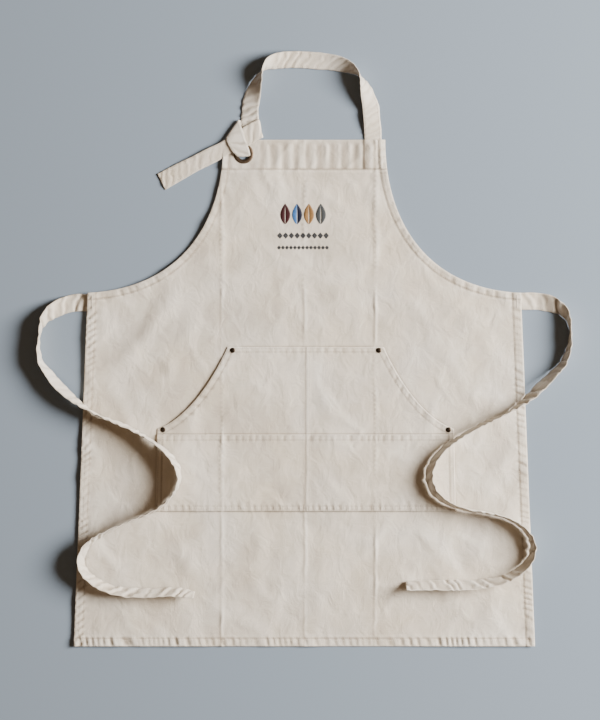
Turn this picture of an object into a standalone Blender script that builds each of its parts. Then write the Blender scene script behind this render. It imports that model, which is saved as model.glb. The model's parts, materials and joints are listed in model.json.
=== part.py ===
"""Canvas bib apron lying flat: panel, facings, hems, pockets, eyelet, rivets, neck strap and waist ties.

Metres, +Z up. The apron lies in the XY plane with its neck towards +Y and its front facing +Z.
The origin is at the middle of the footprint, on the surface that the apron lies on.
"""

import math

import bmesh
import bpy
from mathutils import Vector

# ---------------------------------------------------------------------------
# Driving dimensions
# ---------------------------------------------------------------------------
HEM_Y = -0.4455             # bottom edge
WAIST_Y = 0.084             # side corners, where the armholes start
BIB_TOP_Y = 0.3135          # top edge of the bib
HEM_HALF_WIDTH = 0.3455
WAIST_HALF_WIDTH = 0.3245
BIB_HALF_WIDTH = 0.121

CLOTH = 0.0005              # thickness of one layer of canvas
TAPE_THICKNESS = 0.0010     # strap and ties, folded and stitched
TAPE_WIDTH = 0.025
GAP = 0.0003                # between touching pieces

TOP_FACING_DEPTH = 0.044
ARMHOLE_FACING_WIDTH = 0.010
SIDE_HEM_WIDTH = 0.0125
BOTTOM_HEM_WIDTH = 0.012

POCKET_X = 0.002            # pocket centre line
POCKET_TOP_Y = 0.003
POCKET_CORNER_Y = -0.120    # lower end of each hand opening
POCKET_BOTTOM_Y = -0.243
POCKET_TOP_HALF = 0.117
POCKET_CORNER_HALF = 0.222
POCKET_BOTTOM_HALF = 0.2245
POCKET_HEM_WIDTH = 0.012
OPENING_FACING_WIDTH = 0.009
LOWER_POCKET_TOP_Y = -0.128
LOWER_POCKET_HEM_WIDTH = 0.009

EYELET_X = -0.0912
EYELET_BELOW_TOP = 0.0209
EYELET_OUTER_R = 0.0150
EYELET_HOLE_R = 0.0085
EYELET_BARREL_WALL = 0.0009
EYELET_FLANGE_HEIGHT = 0.0010
WASHER_OUTER_R = 0.0140
WASHER_THICKNESS = 0.0010

RIVET_CAP_R = 0.0040
RIVET_CAP_HEIGHT = 0.0016
RIVET_POST_R = 0.0012
RIVET_BACK_THICKNESS = 0.0011
RIVET_FROM_TOP_EDGE = (0.0075, 0.0050)      # in from the pocket's top corner, and down
RIVET_FROM_SIDE_CORNER = (0.0080, 0.0010)   # in from the pocket's side corner, and down

ANCHOR_X = 0.103            # middle of the strap end that is sewn behind the bib
TAIL_LENGTH = 0.114
TAIL_WAY = (-0.884, -0.468, 0)      # the tail's direction
TAIL_START = (-22.5, 12.2, 0)       # where it leaves the knot, in millimetres from the eyelet
TAIL_FEET = ((0, 4.2), (0.13, 4.1), (0.3, 3.4), (0.5, 2.2), (0.75, 0.9), (1.0, 0.5))  # share, height
HINGE_GAP = 0.0009          # lets a tape that stands on edge turn past its neighbour
SWING_WAY = (0.0, -1.0)     # the ties' direction at their first hinge
BEND_WAY = (0.90, -0.42)    # the left tie's direction at its second hinge; the right one's is mirrored
TIE_SEWN_DEPTH = 0.020      # how far a tie's root reaches under the panel

THREAD_HEIGHT = 0.0003
LEAF_LENGTH = 0.031
LEAF_WIDTH = 0.0165
LEAF_PITCH = 0.0178
LEAF_CENTRE = (-0.002, 0.2025)
BAR_SIZES = ((0.078, 0.0105, 0.1700), (0.078, 0.0070, 0.1520))  # length, height, Y of each bar

# Layers from the table upwards. Each starts one gap above the one below.
TAPE_Z = 0.0
FACING_Z = TAPE_Z + TAPE_THICKNESS + GAP
PANEL_Z = FACING_Z + CLOTH + GAP
POCKET_HEM_Z = PANEL_Z + CLOTH + GAP
POCKET_Z = POCKET_HEM_Z + CLOTH + GAP
LOWER_HEM_Z = POCKET_Z + CLOTH + GAP
LOWER_POCKET_Z = LOWER_HEM_Z + CLOTH + GAP
PANEL_TOP_Z = PANEL_Z + CLOTH
HEM_THICKNESS = PANEL_Z - GAP

EYELET_Y = BIB_TOP_Y - EYELET_BELOW_TOP
BARREL_OUTER_R = EYELET_HOLE_R + EYELET_BARREL_WALL
EYELET_CUT_R = BARREL_OUTER_R + GAP
KNOT_Z = PANEL_TOP_Z + GAP + EYELET_FLANGE_HEIGHT + GAP
KNOT_THICKNESS = 0.0080
KNOT_OUTLINE = (
    (-5.3, 47.4), (20.7, 50.4), (26.4, 23.9), (10.7, 13.4), (9.7, 0.9), (-9.8, -3.6),
)  # millimetres from the eyelet, round the outside of the knot up to the tail

# Neck strap and ties: points along the middle of the tape, chosen by hand, in millimetres.
# Each is x, y, lean in degrees and foot. X and y count from the middle of the bib's top edge for the
# neck loop, and from the waist corner for a tie. Lean 0 stands on edge and 90 lies flat; its sign says
# to which side the upper edge leans, left of the direction of travel being positive. Foot is the
# height of the tape's lowest point.
LOOP_ROUTE = (
    (100.5, 38.5, 90, 3), (99.7, 48.5, 86, 3.3), (96, 62.5, 62, 4), (92, 76.5, 42, 4.8),
    (86.5, 89.5, 16, 5.6), (79, 100, -12, 6), (66, 108.5, -42, 6.6), (46, 115, -62, 7.4),
    (22, 118, -71, 8), (-6, 120, -74, 8), (-30, 119.5, -70, 8), (-48, 115.5, -50, 7.4),
    (-60.5, 106.5, -10, 6.4), (-68.5, 92.5, 26, 5.6), (-74.5, 76.5, 52, 4.8), (-79, 59.5, 76, 4),
    (-81, 48.5, 86, 3.4), (-81.5, 38.5, 90, 3),
)
TIE_LEFT_ROOT_ROUTE = (
    (0, -14.5, -90, 0), (-20.5, -15, -90, 0), (-41.5, -21.5, -72, 0.3), (-59.5, -34, -42, 0.5),
    (-68, -48, -14, 0.5), (-72.1, -64, 0, 0.5),
)
TIE_LEFT_LOOP_ROUTE = (
    (-72.1, -64, 0, 0.5), (-73.5, -83, -6, 0.5), (-71, -100, -11, 0.6), (-63.5, -119, -20, 1.2),
    (-51.5, -137, -26, 3.2), (-34.5, -153, -24, 5.6), (-15.5, -166.5, -15, 6.6), (15, -182.5, 0, 6.6),
)
TIE_LEFT_RUN_ROUTE = (
    (15, -182.5, 0, 6.6), (42.5, -195, -7, 6.6), (68.5, -206.5, -8, 6.6), (94.5, -221, -8, 6.6),
    (117.5, -240, -10, 6.6), (133.5, -265, -12, 6.6), (134.5, -287, -10, 6.6), (122.5, -308, -6, 6.6),
    (101.5, -324.5, -5, 6.6), (74.5, -336.5, -4, 6.6), (43.5, -349.5, -6, 6.6), (13.5, -364, -12, 6.6),
    (-6.5, -381, -18, 6.6), (-13.5, -402, -22, 6.6), (-5.5, -423, -26, 6.6), (13.5, -439, -28, 6.6),
    (37.5, -449, -28, 6.6), (65.5, -453.5, -31, 6.6), (94.5, -453.5, -31, 6.6), (125.5, -452, -26, 6.6),
    (159.5, -455, -18, 6.6),
)
TIE_RIGHT_ROOT_ROUTE = (
    (0, -12.5, 90, 0), (24.5, -12.5, 90, 0), (45.5, -17, 66, 0.3), (62.5, -27, 36, 0.5),
    (71, -41, 12, 0.5), (74, -59, 0, 0.5),
)
TIE_RIGHT_LOOP_ROUTE = (
    (74, -59, 0, 0.5), (72.5, -78, 10, 0.5), (67.5, -95, 16, 0.6), (58.5, -114, 22, 1.2),
    (45.5, -131, 27, 3.2), (29.5, -147, 27, 5.6), (12.5, -161, 20, 6.6), (-20, -179.7, 0, 6.6),
)
TIE_RIGHT_RUN_ROUTE = (
    (-20, -179.7, 0, 6.6), (-44.5, -192, 8, 6.6), (-69.5, -204.5, 9, 6.6), (-93.5, -219, 10, 6.6),
    (-114.5, -235, 14, 6.6), (-128.5, -254, 18, 6.6), (-134, -274, 20, 6.6), (-128.5, -294, 17, 6.6),
    (-112.5, -310, 11, 6.6), (-86.5, -322, 7, 6.6), (-54.5, -328, 5, 6.6), (-21.5, -336, 8, 6.6),
    (5.5, -352, 14, 6.6), (19.5, -374, 20, 6.6), (17.5, -397, 24, 6.6), (3.5, -416, 25, 6.6),
    (-18.5, -430, 26, 6.6), (-44.5, -438, 28, 6.6), (-76.5, -442, 32, 6.6), (-110.5, -442.5, 34, 6.6),
    (-144.5, -442.5, 34, 6.6), (-172.5, -443, 30, 6.6),
)

# Colours (linear RGB), roughness, metallic
CANVAS = ("canvas", (0.66, 0.59, 0.50), 0.9, 0.0)
TAPE_CANVAS = ("tape_canvas", (0.68, 0.61, 0.52), 0.9, 0.0)
POCKET_CANVAS = ("pocket_canvas", (0.67, 0.60, 0.51), 0.9, 0.0)
ANTIQUE_BRASS = ("antique_brass", (0.22, 0.15, 0.10), 0.4, 1.0)
DARK_BRASS = ("dark_brass", (0.10, 0.07, 0.05), 0.4, 1.0)
ECRU_THREAD = ("ecru_thread", (0.62, 0.55, 0.46), 0.7, 0.0)
LEAF_THREADS = (
    ("maroon_thread", (0.075, 0.004, 0.008), 0.6, 0.0),
    ("blue_thread", (0.10, 0.28, 0.60), 0.6, 0.0),
    ("tan_thread", (0.43, 0.25, 0.09), 0.6, 0.0),
    ("grey_thread", (0.09, 0.10, 0.11), 0.6, 0.0),
)
DARK_THREAD = ("dark_thread", (0.02, 0.02, 0.025), 0.6, 0.0)

# ---------------------------------------------------------------------------
# Set-up
# ---------------------------------------------------------------------------
for old in list(bpy.data.objects):
    bpy.data.objects.remove(old, do_unlink=True)

parts = bpy.data.collections.new("apron")
cutters = bpy.data.collections.new("cutters")
bpy.context.scene.collection.children.link(parts)
bpy.context.scene.collection.children.link(cutters)


def material(spec):
    name, colour, roughness, metallic = spec
    found = bpy.data.materials.get(name)
    if found:
        return found
    made = bpy.data.materials.new(name)
    made.use_nodes = True
    shader = made.node_tree.nodes["Principled BSDF"]
    shader.inputs["Base Color"].default_value = (*colour, 1)
    shader.inputs["Roughness"].default_value = roughness
    shader.inputs["Metallic"].default_value = metallic
    return made


def add_part(name, mesh, spec):
    """A named sub-part from a mesh, with its own material."""
    made = bpy.data.objects.new(name, mesh)
    mesh.materials.clear()
    mesh.materials.append(material(spec))
    parts.objects.link(made)
    return made


def add_bmesh(name, bm, spec, smooth=False):
    bmesh.ops.recalc_face_normals(bm, faces=bm.faces)
    mesh = bpy.data.meshes.new(name)
    bm.to_mesh(mesh)
    bm.free()
    if smooth:
        mesh.shade_smooth()
    return add_part(name, mesh, spec)


def add_flat(name, outline, bottom, thickness, spec):
    """A flat piece: a closed 2D outline, extruded and turned into a mesh."""
    curve = bpy.data.curves.new(name, "CURVE")
    curve.dimensions = "2D"
    curve.fill_mode = "BOTH"
    curve.extrude = thickness / 2
    spline = curve.splines.new("POLY")
    spline.points.add(len(outline) - 1)
    for point, (x, y) in zip(spline.points, outline):
        point.co = (x, y, 0, 1)
    spline.use_cyclic_u = True
    guide = bpy.data.objects.new(name + "_outline", curve)
    parts.objects.link(guide)
    guide.location.z = bottom + thickness / 2
    bpy.context.view_layer.update()
    depsgraph = bpy.context.evaluated_depsgraph_get()
    mesh = bpy.data.meshes.new_from_object(guide.evaluated_get(depsgraph))
    mesh.transform(guide.matrix_world)
    bpy.data.objects.remove(guide)
    bm = bmesh.new()
    bm.from_mesh(mesh)
    bmesh.ops.remove_doubles(bm, verts=bm.verts, dist=0.00002)
    bpy.data.meshes.remove(mesh)
    return add_bmesh(name, bm, spec)


def cut(part, x, y, radius, bottom, top, sides=32):
    """A round hole through a flat part."""
    bm = bmesh.new()
    bmesh.ops.create_cone(
        bm, cap_ends=True, segments=sides, radius1=radius, radius2=radius, depth=top - bottom
    )
    bmesh.ops.translate(bm, vec=(x, y, (bottom + top) / 2), verts=bm.verts)
    mesh = bpy.data.meshes.new(part.name + "_cut")
    bm.to_mesh(mesh)
    bm.free()
    cutter = bpy.data.objects.new(mesh.name, mesh)
    cutters.objects.link(cutter)
    cutter.hide_render = True
    cutter.display_type = "WIRE"
    hole = part.modifiers.new("hole", "BOOLEAN")
    hole.operation = "DIFFERENCE"
    hole.object = cutter
    hole.solver = "EXACT"


def add_turned(name, profile, x, y, spec, sides=32):
    """A turned piece: a closed profile of (radius, height), spun about an upright axis at x, y."""
    bm = bmesh.new()
    rings = []
    for radius, height in profile:
        if radius == 0:
            rings.append([bm.verts.new((x, y, height))])
            continue
        angles = [2 * math.pi * i / sides for i in range(sides)]
        rings.append(
            [bm.verts.new((x + radius * math.cos(a), y + radius * math.sin(a), height)) for a in angles]
        )
    pairs = list(zip(rings, rings[1:] + rings[:1]))
    if len(rings[0]) == 1 and len(rings[-1]) == 1:
        pairs = pairs[:-1]
    for low, high in pairs:
        for i in range(sides):
            j = (i + 1) % sides
            corners = [low[i % len(low)], low[j % len(low)], high[j % len(high)], high[i % len(high)]]
            bm.faces.new(list(dict.fromkeys(corners)))
    return add_bmesh(name, bm, spec, smooth=True)


# ---------------------------------------------------------------------------
# Outlines
# ---------------------------------------------------------------------------
def bezier(p0, p1, p2, p3, count, start=0.0, end=1.0):
    """Points and left-hand normals along a cubic curve."""
    found = []
    for i in range(count + 1):
        t = start + (end - start) * i / count
        u = 1 - t
        at = [
            u**3 * a + 3 * u * u * t * b + 3 * u * t * t * c + t**3 * d
            for a, b, c, d in zip(p0, p1, p2, p3)
        ]
        way = [
            3 * u * u * (b - a) + 6 * u * t * (c - b) + 3 * t * t * (d - c)
            for a, b, c, d in zip(p0, p1, p2, p3)
        ]
        size = math.hypot(*way)
        found.append((at[0], at[1], -way[1] / size, way[0] / size))
    return found


def armhole(side, count=28, start=0.0):
    """The armhole's edge from the bib's top corner down to the waist corner, for side -1 or 1."""
    curve = bezier(
        (BIB_HALF_WIDTH, BIB_TOP_Y),
        (BIB_HALF_WIDTH, BIB_TOP_Y - 0.56 * (BIB_TOP_Y - WAIST_Y)),
        (BIB_HALF_WIDTH + 0.33 * (WAIST_HALF_WIDTH - BIB_HALF_WIDTH), WAIST_Y + 0.006),
        (WAIST_HALF_WIDTH, WAIST_Y),
        count,
        start,
    )
    return [(side * x, y, side * nx, ny) for x, y, nx, ny in curve]


def hand_opening(side, count=16, start=0.0, end=1.0):
    """The pocket's curved edge from its top corner down to its side corner."""
    wide = POCKET_CORNER_HALF - POCKET_TOP_HALF
    tall = POCKET_TOP_Y - POCKET_CORNER_Y
    curve = bezier(
        (POCKET_TOP_HALF, POCKET_TOP_Y),
        (POCKET_TOP_HALF + 0.17 * wide, POCKET_TOP_Y - 0.33 * tall),
        (POCKET_TOP_HALF + 0.52 * wide, POCKET_CORNER_Y + 0.15 * tall),
        (POCKET_CORNER_HALF, POCKET_CORNER_Y),
        count,
        start,
        end,
    )
    return [(POCKET_X + side * x, y, side * nx, ny) for x, y, nx, ny in curve]


def band(edge, inset, width):
    """A closed outline along an edge, from inset to inset + width on its inner side."""
    outer = [(x - nx * inset, y - ny * inset) for x, y, nx, ny in edge]
    inner = [(x - nx * (inset + width), y - ny * (inset + width)) for x, y, nx, ny in edge]
    return outer + inner[::-1]


def side_x(y):
    """Half width of the skirt at height y."""
    share = (y - HEM_Y) / (WAIST_Y - HEM_Y)
    return HEM_HALF_WIDTH + share * (WAIST_HALF_WIDTH - HEM_HALF_WIDTH)


def pocket_side_x(y):
    """Half width of the pockets at height y, below the hand openings."""
    share = (y - POCKET_BOTTOM_Y) / (POCKET_CORNER_Y - POCKET_BOTTOM_Y)
    return POCKET_BOTTOM_HALF + share * (POCKET_CORNER_HALF - POCKET_BOTTOM_HALF)


def clip_below(edge, top):
    """The part of a falling edge below a height."""
    return [point for point in edge if point[1] < top]


# ---------------------------------------------------------------------------
# Tape: a flat strip that stands, leans or lies along a route
# ---------------------------------------------------------------------------
def smooth_route(route, origin, steps=3):
    """A Catmull-Rom curve through a route's points, in metres and radians, counted from an origin."""
    points = [
        (origin[0] + x / 1000, origin[1] + y / 1000, math.radians(lean), foot / 1000)
        for x, y, lean, foot in route
    ]
    ends = [points[0]] + points + [points[-1]]
    found = []
    for a, b, c, d in zip(ends, ends[1:], ends[2:], ends[3:]):
        for i in range(steps):
            t = i / steps
            found.append(
                tuple(
                    0.5 * (2 * q + (r - p) * t + (2 * p - 5 * q + 4 * r - s) * t * t
                           + (3 * q - p - 3 * r + s) * t**3)
                    for p, q, r, s in zip(a, b, c, d)
                )
            )
    return found + [points[-1]]


def add_tape(name, route, origin, start=0.0, end=0.0, start_way=None, end_way=None):
    """A tape along a route. Each end is pulled back from its neighbour and squared to a given way."""
    stations = [list(s) for s in smooth_route(route, origin)]
    ways = []
    for before, after in zip(stations[:1] + stations[:-1], stations[1:] + stations[-1:]):
        ways.append(Vector((after[0] - before[0], after[1] - before[1], 0)).normalized())
    if start_way:
        ways[0] = Vector((*start_way, 0)).normalized()
    if end_way:
        ways[-1] = Vector((*end_way, 0)).normalized()
    for k in (0, 1):
        stations[0][k] += ways[0][k] * start
        stations[-1][k] -= ways[-1][k] * end
    bm = bmesh.new()
    rings = []
    for (x, y, lean, foot), along in zip(stations, ways):
        left = Vector((-along.y, along.x, 0))
        across = left * math.sin(lean) + Vector((0, 0, math.cos(lean)))
        through = left * math.cos(lean) - Vector((0, 0, math.sin(lean)))
        height = TAPE_WIDTH / 2 * abs(across.z) + TAPE_THICKNESS / 2 * abs(through.z)
        middle = Vector((x, y, foot + height))
        rings.append(
            [
                bm.verts.new(middle + across * (a * TAPE_WIDTH / 2) + through * (b * TAPE_THICKNESS / 2))
                for a, b in ((-1, -1), (1, -1), (1, 1), (-1, 1))
            ]
        )
    for near, far in zip(rings, rings[1:]):
        for i in range(4):
            bm.faces.new((near[i], near[(i + 1) % 4], far[(i + 1) % 4], far[i]))
    bm.faces.new(rings[0])
    bm.faces.new(rings[-1][::-1])
    return add_bmesh(name, bm, TAPE_CANVAS)


# ---------------------------------------------------------------------------
# Body: panel, facings and hems
# ---------------------------------------------------------------------------
def make_panel():
    right = [(x, y) for x, y, _, _ in armhole(1)]
    left = [(x, y) for x, y, _, _ in armhole(-1)]
    outline = [(-HEM_HALF_WIDTH, HEM_Y), (HEM_HALF_WIDTH, HEM_Y)] + right[::-1] + left
    panel = add_flat("body_panel", outline, PANEL_Z, CLOTH, CANVAS)
    cut(panel, EYELET_X, EYELET_Y, EYELET_CUT_R, PANEL_Z - CLOTH, PANEL_TOP_Z + CLOTH)
    for x, y in rivet_places():
        cut(panel, x, y, RIVET_POST_R + GAP, PANEL_Z - CLOTH, PANEL_TOP_Z + CLOTH, sides=12)


def make_facings():
    depth_y = BIB_TOP_Y - TOP_FACING_DEPTH
    upper = [point for point in armhole(1) if point[1] > depth_y]
    right = [(x, y) for x, y, _, _ in upper] + [(upper[-1][0], depth_y)]
    left = [(-x, y) for x, y in right]
    facing = add_flat("bib_top_facing", right[::-1] + left, FACING_Z, CLOTH, CANVAS)
    cut(facing, EYELET_X, EYELET_Y, EYELET_CUT_R, FACING_Z - CLOTH / 2, FACING_Z + 2 * CLOTH)
    for side, word in ((-1, "left"), (1, "right")):
        edge = clip_below(armhole(side, 40), depth_y - GAP)
        outline = band(edge, 0, ARMHOLE_FACING_WIDTH)
        add_flat(f"armhole_facing_{word}", outline, FACING_Z, CLOTH, CANVAS)


def make_hems():
    low = HEM_Y + BOTTOM_HEM_WIDTH
    wide = side_x(low)
    outline = [(-HEM_HALF_WIDTH, HEM_Y), (HEM_HALF_WIDTH, HEM_Y), (wide, low), (-wide, low)]
    add_flat("bottom_hem", outline, TAPE_Z, HEM_THICKNESS, CANVAS)
    for side, word, route in ((-1, "left", TIE_LEFT_ROOT_ROUTE), (1, "right", TIE_RIGHT_ROOT_ROUTE)):
        top = WAIST_Y + route[0][1] / 1000 - TAPE_WIDTH / 2 - GAP
        bottom = low + GAP
        outline = [
            (side * side_x(bottom), bottom),
            (side * side_x(top), top),
            (side * (side_x(top) - SIDE_HEM_WIDTH), top),
            (side * (side_x(bottom) - SIDE_HEM_WIDTH), bottom),
        ]
        add_flat(f"side_hem_{word}", outline, TAPE_Z, HEM_THICKNESS, CANVAS)


# ---------------------------------------------------------------------------
# Pockets
# ---------------------------------------------------------------------------
def pocket_outline(top):
    """The pocket's lower part: straight sides from a height down to the bottom edge."""
    return [
        (POCKET_X - pocket_side_x(top), top),
        (POCKET_X - POCKET_BOTTOM_HALF, POCKET_BOTTOM_Y),
        (POCKET_X + POCKET_BOTTOM_HALF, POCKET_BOTTOM_Y),
        (POCKET_X + pocket_side_x(top), top),
    ]


def make_kangaroo_pocket():
    right = [(x, y) for x, y, _, _ in hand_opening(1)]
    left = [(x, y) for x, y, _, _ in hand_opening(-1)]
    outline = left + pocket_outline(POCKET_CORNER_Y)[1:3] + right[::-1]
    pocket = add_flat("kangaroo_pocket", outline, POCKET_Z, CLOTH, POCKET_CANVAS)
    for x, y in rivet_places():
        cut(pocket, x, y, RIVET_POST_R + GAP, POCKET_Z - GAP / 2, POCKET_Z + 2 * CLOTH, sides=12)
    half = POCKET_TOP_HALF - 2 * RIVET_FROM_TOP_EDGE[0]
    low = POCKET_TOP_Y - POCKET_HEM_WIDTH
    outline = [
        (POCKET_X - half, low),
        (POCKET_X + half, low),
        (POCKET_X + half, POCKET_TOP_Y),
        (POCKET_X - half, POCKET_TOP_Y),
    ]
    add_flat("pocket_top_hem", outline, POCKET_HEM_Z, CLOTH, POCKET_CANVAS)
    for side, word in ((-1, "left"), (1, "right")):
        edge = hand_opening(side, 14, start=0.12, end=0.90)
        outline = band(edge, 0, OPENING_FACING_WIDTH)
        add_flat(f"hand_opening_facing_{word}", outline, POCKET_HEM_Z, CLOTH, POCKET_CANVAS)


def make_lower_pocket():
    outline = pocket_outline(LOWER_POCKET_TOP_Y)
    add_flat("lower_pocket", outline, LOWER_POCKET_Z, CLOTH, POCKET_CANVAS)
    low = LOWER_POCKET_TOP_Y - LOWER_POCKET_HEM_WIDTH
    half = pocket_side_x(LOWER_POCKET_TOP_Y)
    outline = [
        (POCKET_X - half, low),
        (POCKET_X + half, low),
        (POCKET_X + half, LOWER_POCKET_TOP_Y),
        (POCKET_X - half, LOWER_POCKET_TOP_Y),
    ]
    add_flat("lower_pocket_hem", outline, LOWER_HEM_Z, CLOTH, POCKET_CANVAS)


# ---------------------------------------------------------------------------
# Metal: eyelet and rivets
# ---------------------------------------------------------------------------
def make_eyelet():
    seat = PANEL_TOP_Z + GAP
    crown = seat + EYELET_FLANGE_HEIGHT
    foot = FACING_Z - WASHER_THICKNESS
    middle_r = (EYELET_HOLE_R + EYELET_OUTER_R) / 2
    flange = (
        (EYELET_HOLE_R, foot),
        (BARREL_OUTER_R, foot),
        (BARREL_OUTER_R, seat),
        (EYELET_OUTER_R, seat),
        (EYELET_OUTER_R - 0.0008, seat + 0.6 * EYELET_FLANGE_HEIGHT),
        (middle_r, crown),
        (EYELET_HOLE_R + 0.0008, seat + 0.8 * EYELET_FLANGE_HEIGHT),
        (EYELET_HOLE_R, seat + 0.3 * EYELET_FLANGE_HEIGHT),
    )
    add_turned("eyelet_flange", flange, EYELET_X, EYELET_Y, ANTIQUE_BRASS)
    top = FACING_Z - GAP
    bottom = top - WASHER_THICKNESS + GAP
    washer = (
        (EYELET_CUT_R, bottom),
        (WASHER_OUTER_R, bottom),
        (WASHER_OUTER_R, top),
        (EYELET_CUT_R, top),
    )
    add_turned("eyelet_washer", washer, EYELET_X, EYELET_Y, ANTIQUE_BRASS)


def rivet_places():
    """Two rivets at the pocket's top corners and two at its side corners."""
    top_x = POCKET_TOP_HALF - RIVET_FROM_TOP_EDGE[0]
    top_y = POCKET_TOP_Y - RIVET_FROM_TOP_EDGE[1]
    side = POCKET_CORNER_HALF - RIVET_FROM_SIDE_CORNER[0]
    side_y = POCKET_CORNER_Y - RIVET_FROM_SIDE_CORNER[1]
    return (
        (POCKET_X - top_x, top_y),
        (POCKET_X + top_x, top_y),
        (POCKET_X - side, side_y),
        (POCKET_X + side, side_y),
    )


def make_rivets():
    words = ("top_left", "top_right", "side_left", "side_right")
    seat = POCKET_Z + CLOTH + GAP
    back_top = PANEL_Z - GAP
    for word, (x, y) in zip(words, rivet_places()):
        cap = (
            (0, back_top + GAP),
            (RIVET_POST_R, back_top + GAP),
            (RIVET_POST_R, seat),
            (RIVET_CAP_R, seat),
            (RIVET_CAP_R, seat + 0.35 * RIVET_CAP_HEIGHT),
            (0.78 * RIVET_CAP_R, seat + 0.8 * RIVET_CAP_HEIGHT),
            (0.4 * RIVET_CAP_R, seat + 0.97 * RIVET_CAP_HEIGHT),
            (0, seat + RIVET_CAP_HEIGHT),
        )
        add_turned(f"rivet_cap_{word}", cap, x, y, DARK_BRASS, sides=20)
        back = (
            (0, back_top - RIVET_BACK_THICKNESS),
            (0.8 * RIVET_CAP_R, back_top - RIVET_BACK_THICKNESS),
            (RIVET_CAP_R, back_top - 0.6 * RIVET_BACK_THICKNESS),
            (RIVET_CAP_R, back_top),
            (0, back_top),
        )
        add_turned(f"rivet_back_{word}", back, x, y, DARK_BRASS, sides=20)


# ---------------------------------------------------------------------------
# Neck strap
# ---------------------------------------------------------------------------
def make_neck_strap():
    bib_top = (0, BIB_TOP_Y)
    up, down = (0, 1), (0, -1)
    fold = LOOP_ROUTE[0][1]
    anchor_x = ANCHOR_X * 1000
    anchor = (
        (anchor_x, 1.5 - TOP_FACING_DEPTH * 1000, 90, 0),
        (anchor_x, 1, 90, 0),
        (anchor_x - 0.8, 0.55 * fold, 90, 1.2),
        LOOP_ROUTE[0],
    )
    add_tape("neck_strap_anchor", anchor, bib_top, end=GAP / 2, end_way=up)
    add_tape(
        "neck_strap_loop", LOOP_ROUTE, bib_top, start=GAP / 2, end=GAP / 2, start_way=up, end_way=down
    )
    back_x = LOOP_ROUTE[-1][0]
    washer_edge = (WASHER_OUTER_R + 2 * GAP - EYELET_BELOW_TOP) * 1000
    back = (
        LOOP_ROUTE[-1],
        (back_x, 0.82 * fold, 90, 2.0),
        (back_x, 0.56 * fold, 90, 0.8),
        (back_x, 0.3 * fold, 90, 0),
        (back_x, washer_edge, 90, 0),
    )
    add_tape("neck_strap_back_pass", back, bib_top, start=GAP / 2, start_way=down)


def make_knot_and_tail():
    """The knot's block, whose left side is square to the tail, and the tail beside it."""
    eyelet = Vector((EYELET_X, EYELET_Y, 0))
    way = Vector(TAIL_WAY).normalized()
    across = Vector((-way.y, way.x, 0)) * TAPE_WIDTH / 2
    start = eyelet + Vector(TAIL_START) / 1000
    seat = start - way * GAP
    outline = [(eyelet.x + x / 1000, eyelet.y + y / 1000) for x, y in KNOT_OUTLINE]
    outline += [((seat + across).x, (seat + across).y), ((seat - across).x, (seat - across).y)]
    add_flat("neck_strap_knot", outline, KNOT_Z, KNOT_THICKNESS, TAPE_CANVAS)
    tail = []
    for share, foot in TAIL_FEET:
        reach = way * (share * TAIL_LENGTH * 1000)
        tail.append((reach.x, reach.y, 90, foot))
    add_tape("neck_strap_tail", tail, (start.x, start.y), start_way=(way.x, way.y))


# ---------------------------------------------------------------------------
# Waist ties
# ---------------------------------------------------------------------------
def make_ties():
    ties = (
        ("left", -1, TIE_LEFT_ROOT_ROUTE, TIE_LEFT_LOOP_ROUTE, TIE_LEFT_RUN_ROUTE),
        ("right", 1, TIE_RIGHT_ROOT_ROUTE, TIE_RIGHT_LOOP_ROUTE, TIE_RIGHT_RUN_ROUTE),
    )
    half = HINGE_GAP / 2
    for word, side, root, loop, run in ties:
        corner = (side * WAIST_HALF_WIDTH, WAIST_Y)
        sewn = ((-side * TIE_SEWN_DEPTH * 1000, *root[0][1:]),) + root
        bend_way = (-side * BEND_WAY[0], BEND_WAY[1])
        add_tape(f"tie_{word}_root", sewn, corner, end=half, end_way=SWING_WAY)
        add_tape(
            f"tie_{word}_loop", loop, corner, start=half, end=half, start_way=SWING_WAY, end_way=bend_way
        )
        add_tape(f"tie_{word}_run", run, corner, start=half, start_way=bend_way)


# ---------------------------------------------------------------------------
# Thread: embroidery, divider seam and bar tacks
# ---------------------------------------------------------------------------
def leaf_outline(x, y, count=10):
    """A pointed oval standing upright: two arcs that meet at its ends."""
    points = []
    for i in range(2 * count):
        t = math.pi * i / count
        swell = abs(math.sin(t)) ** 1.25
        points.append(
            (x + math.copysign(LEAF_WIDTH / 2 * swell, math.sin(t)), y + LEAF_LENGTH / 2 * math.cos(t))
        )
    return points


def box_outline(x, y, wide, tall):
    return [
        (x - wide / 2, y - tall / 2),
        (x + wide / 2, y - tall / 2),
        (x + wide / 2, y + tall / 2),
        (x - wide / 2, y + tall / 2),
    ]


def make_embroidery():
    bottom = PANEL_TOP_Z + GAP
    for i, spec in enumerate(LEAF_THREADS):
        x = LEAF_CENTRE[0] + (i - 1.5) * LEAF_PITCH
        name = "leaf_" + spec[0].split("_")[0]
        add_flat(name, leaf_outline(x, LEAF_CENTRE[1]), bottom, THREAD_HEIGHT, spec)
    for word, (wide, tall, y) in zip(("upper", "lower"), BAR_SIZES):
        outline = box_outline(LEAF_CENTRE[0], y, wide, tall)
        add_flat(f"stitch_bar_{word}", outline, bottom, THREAD_HEIGHT, DARK_THREAD)


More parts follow.
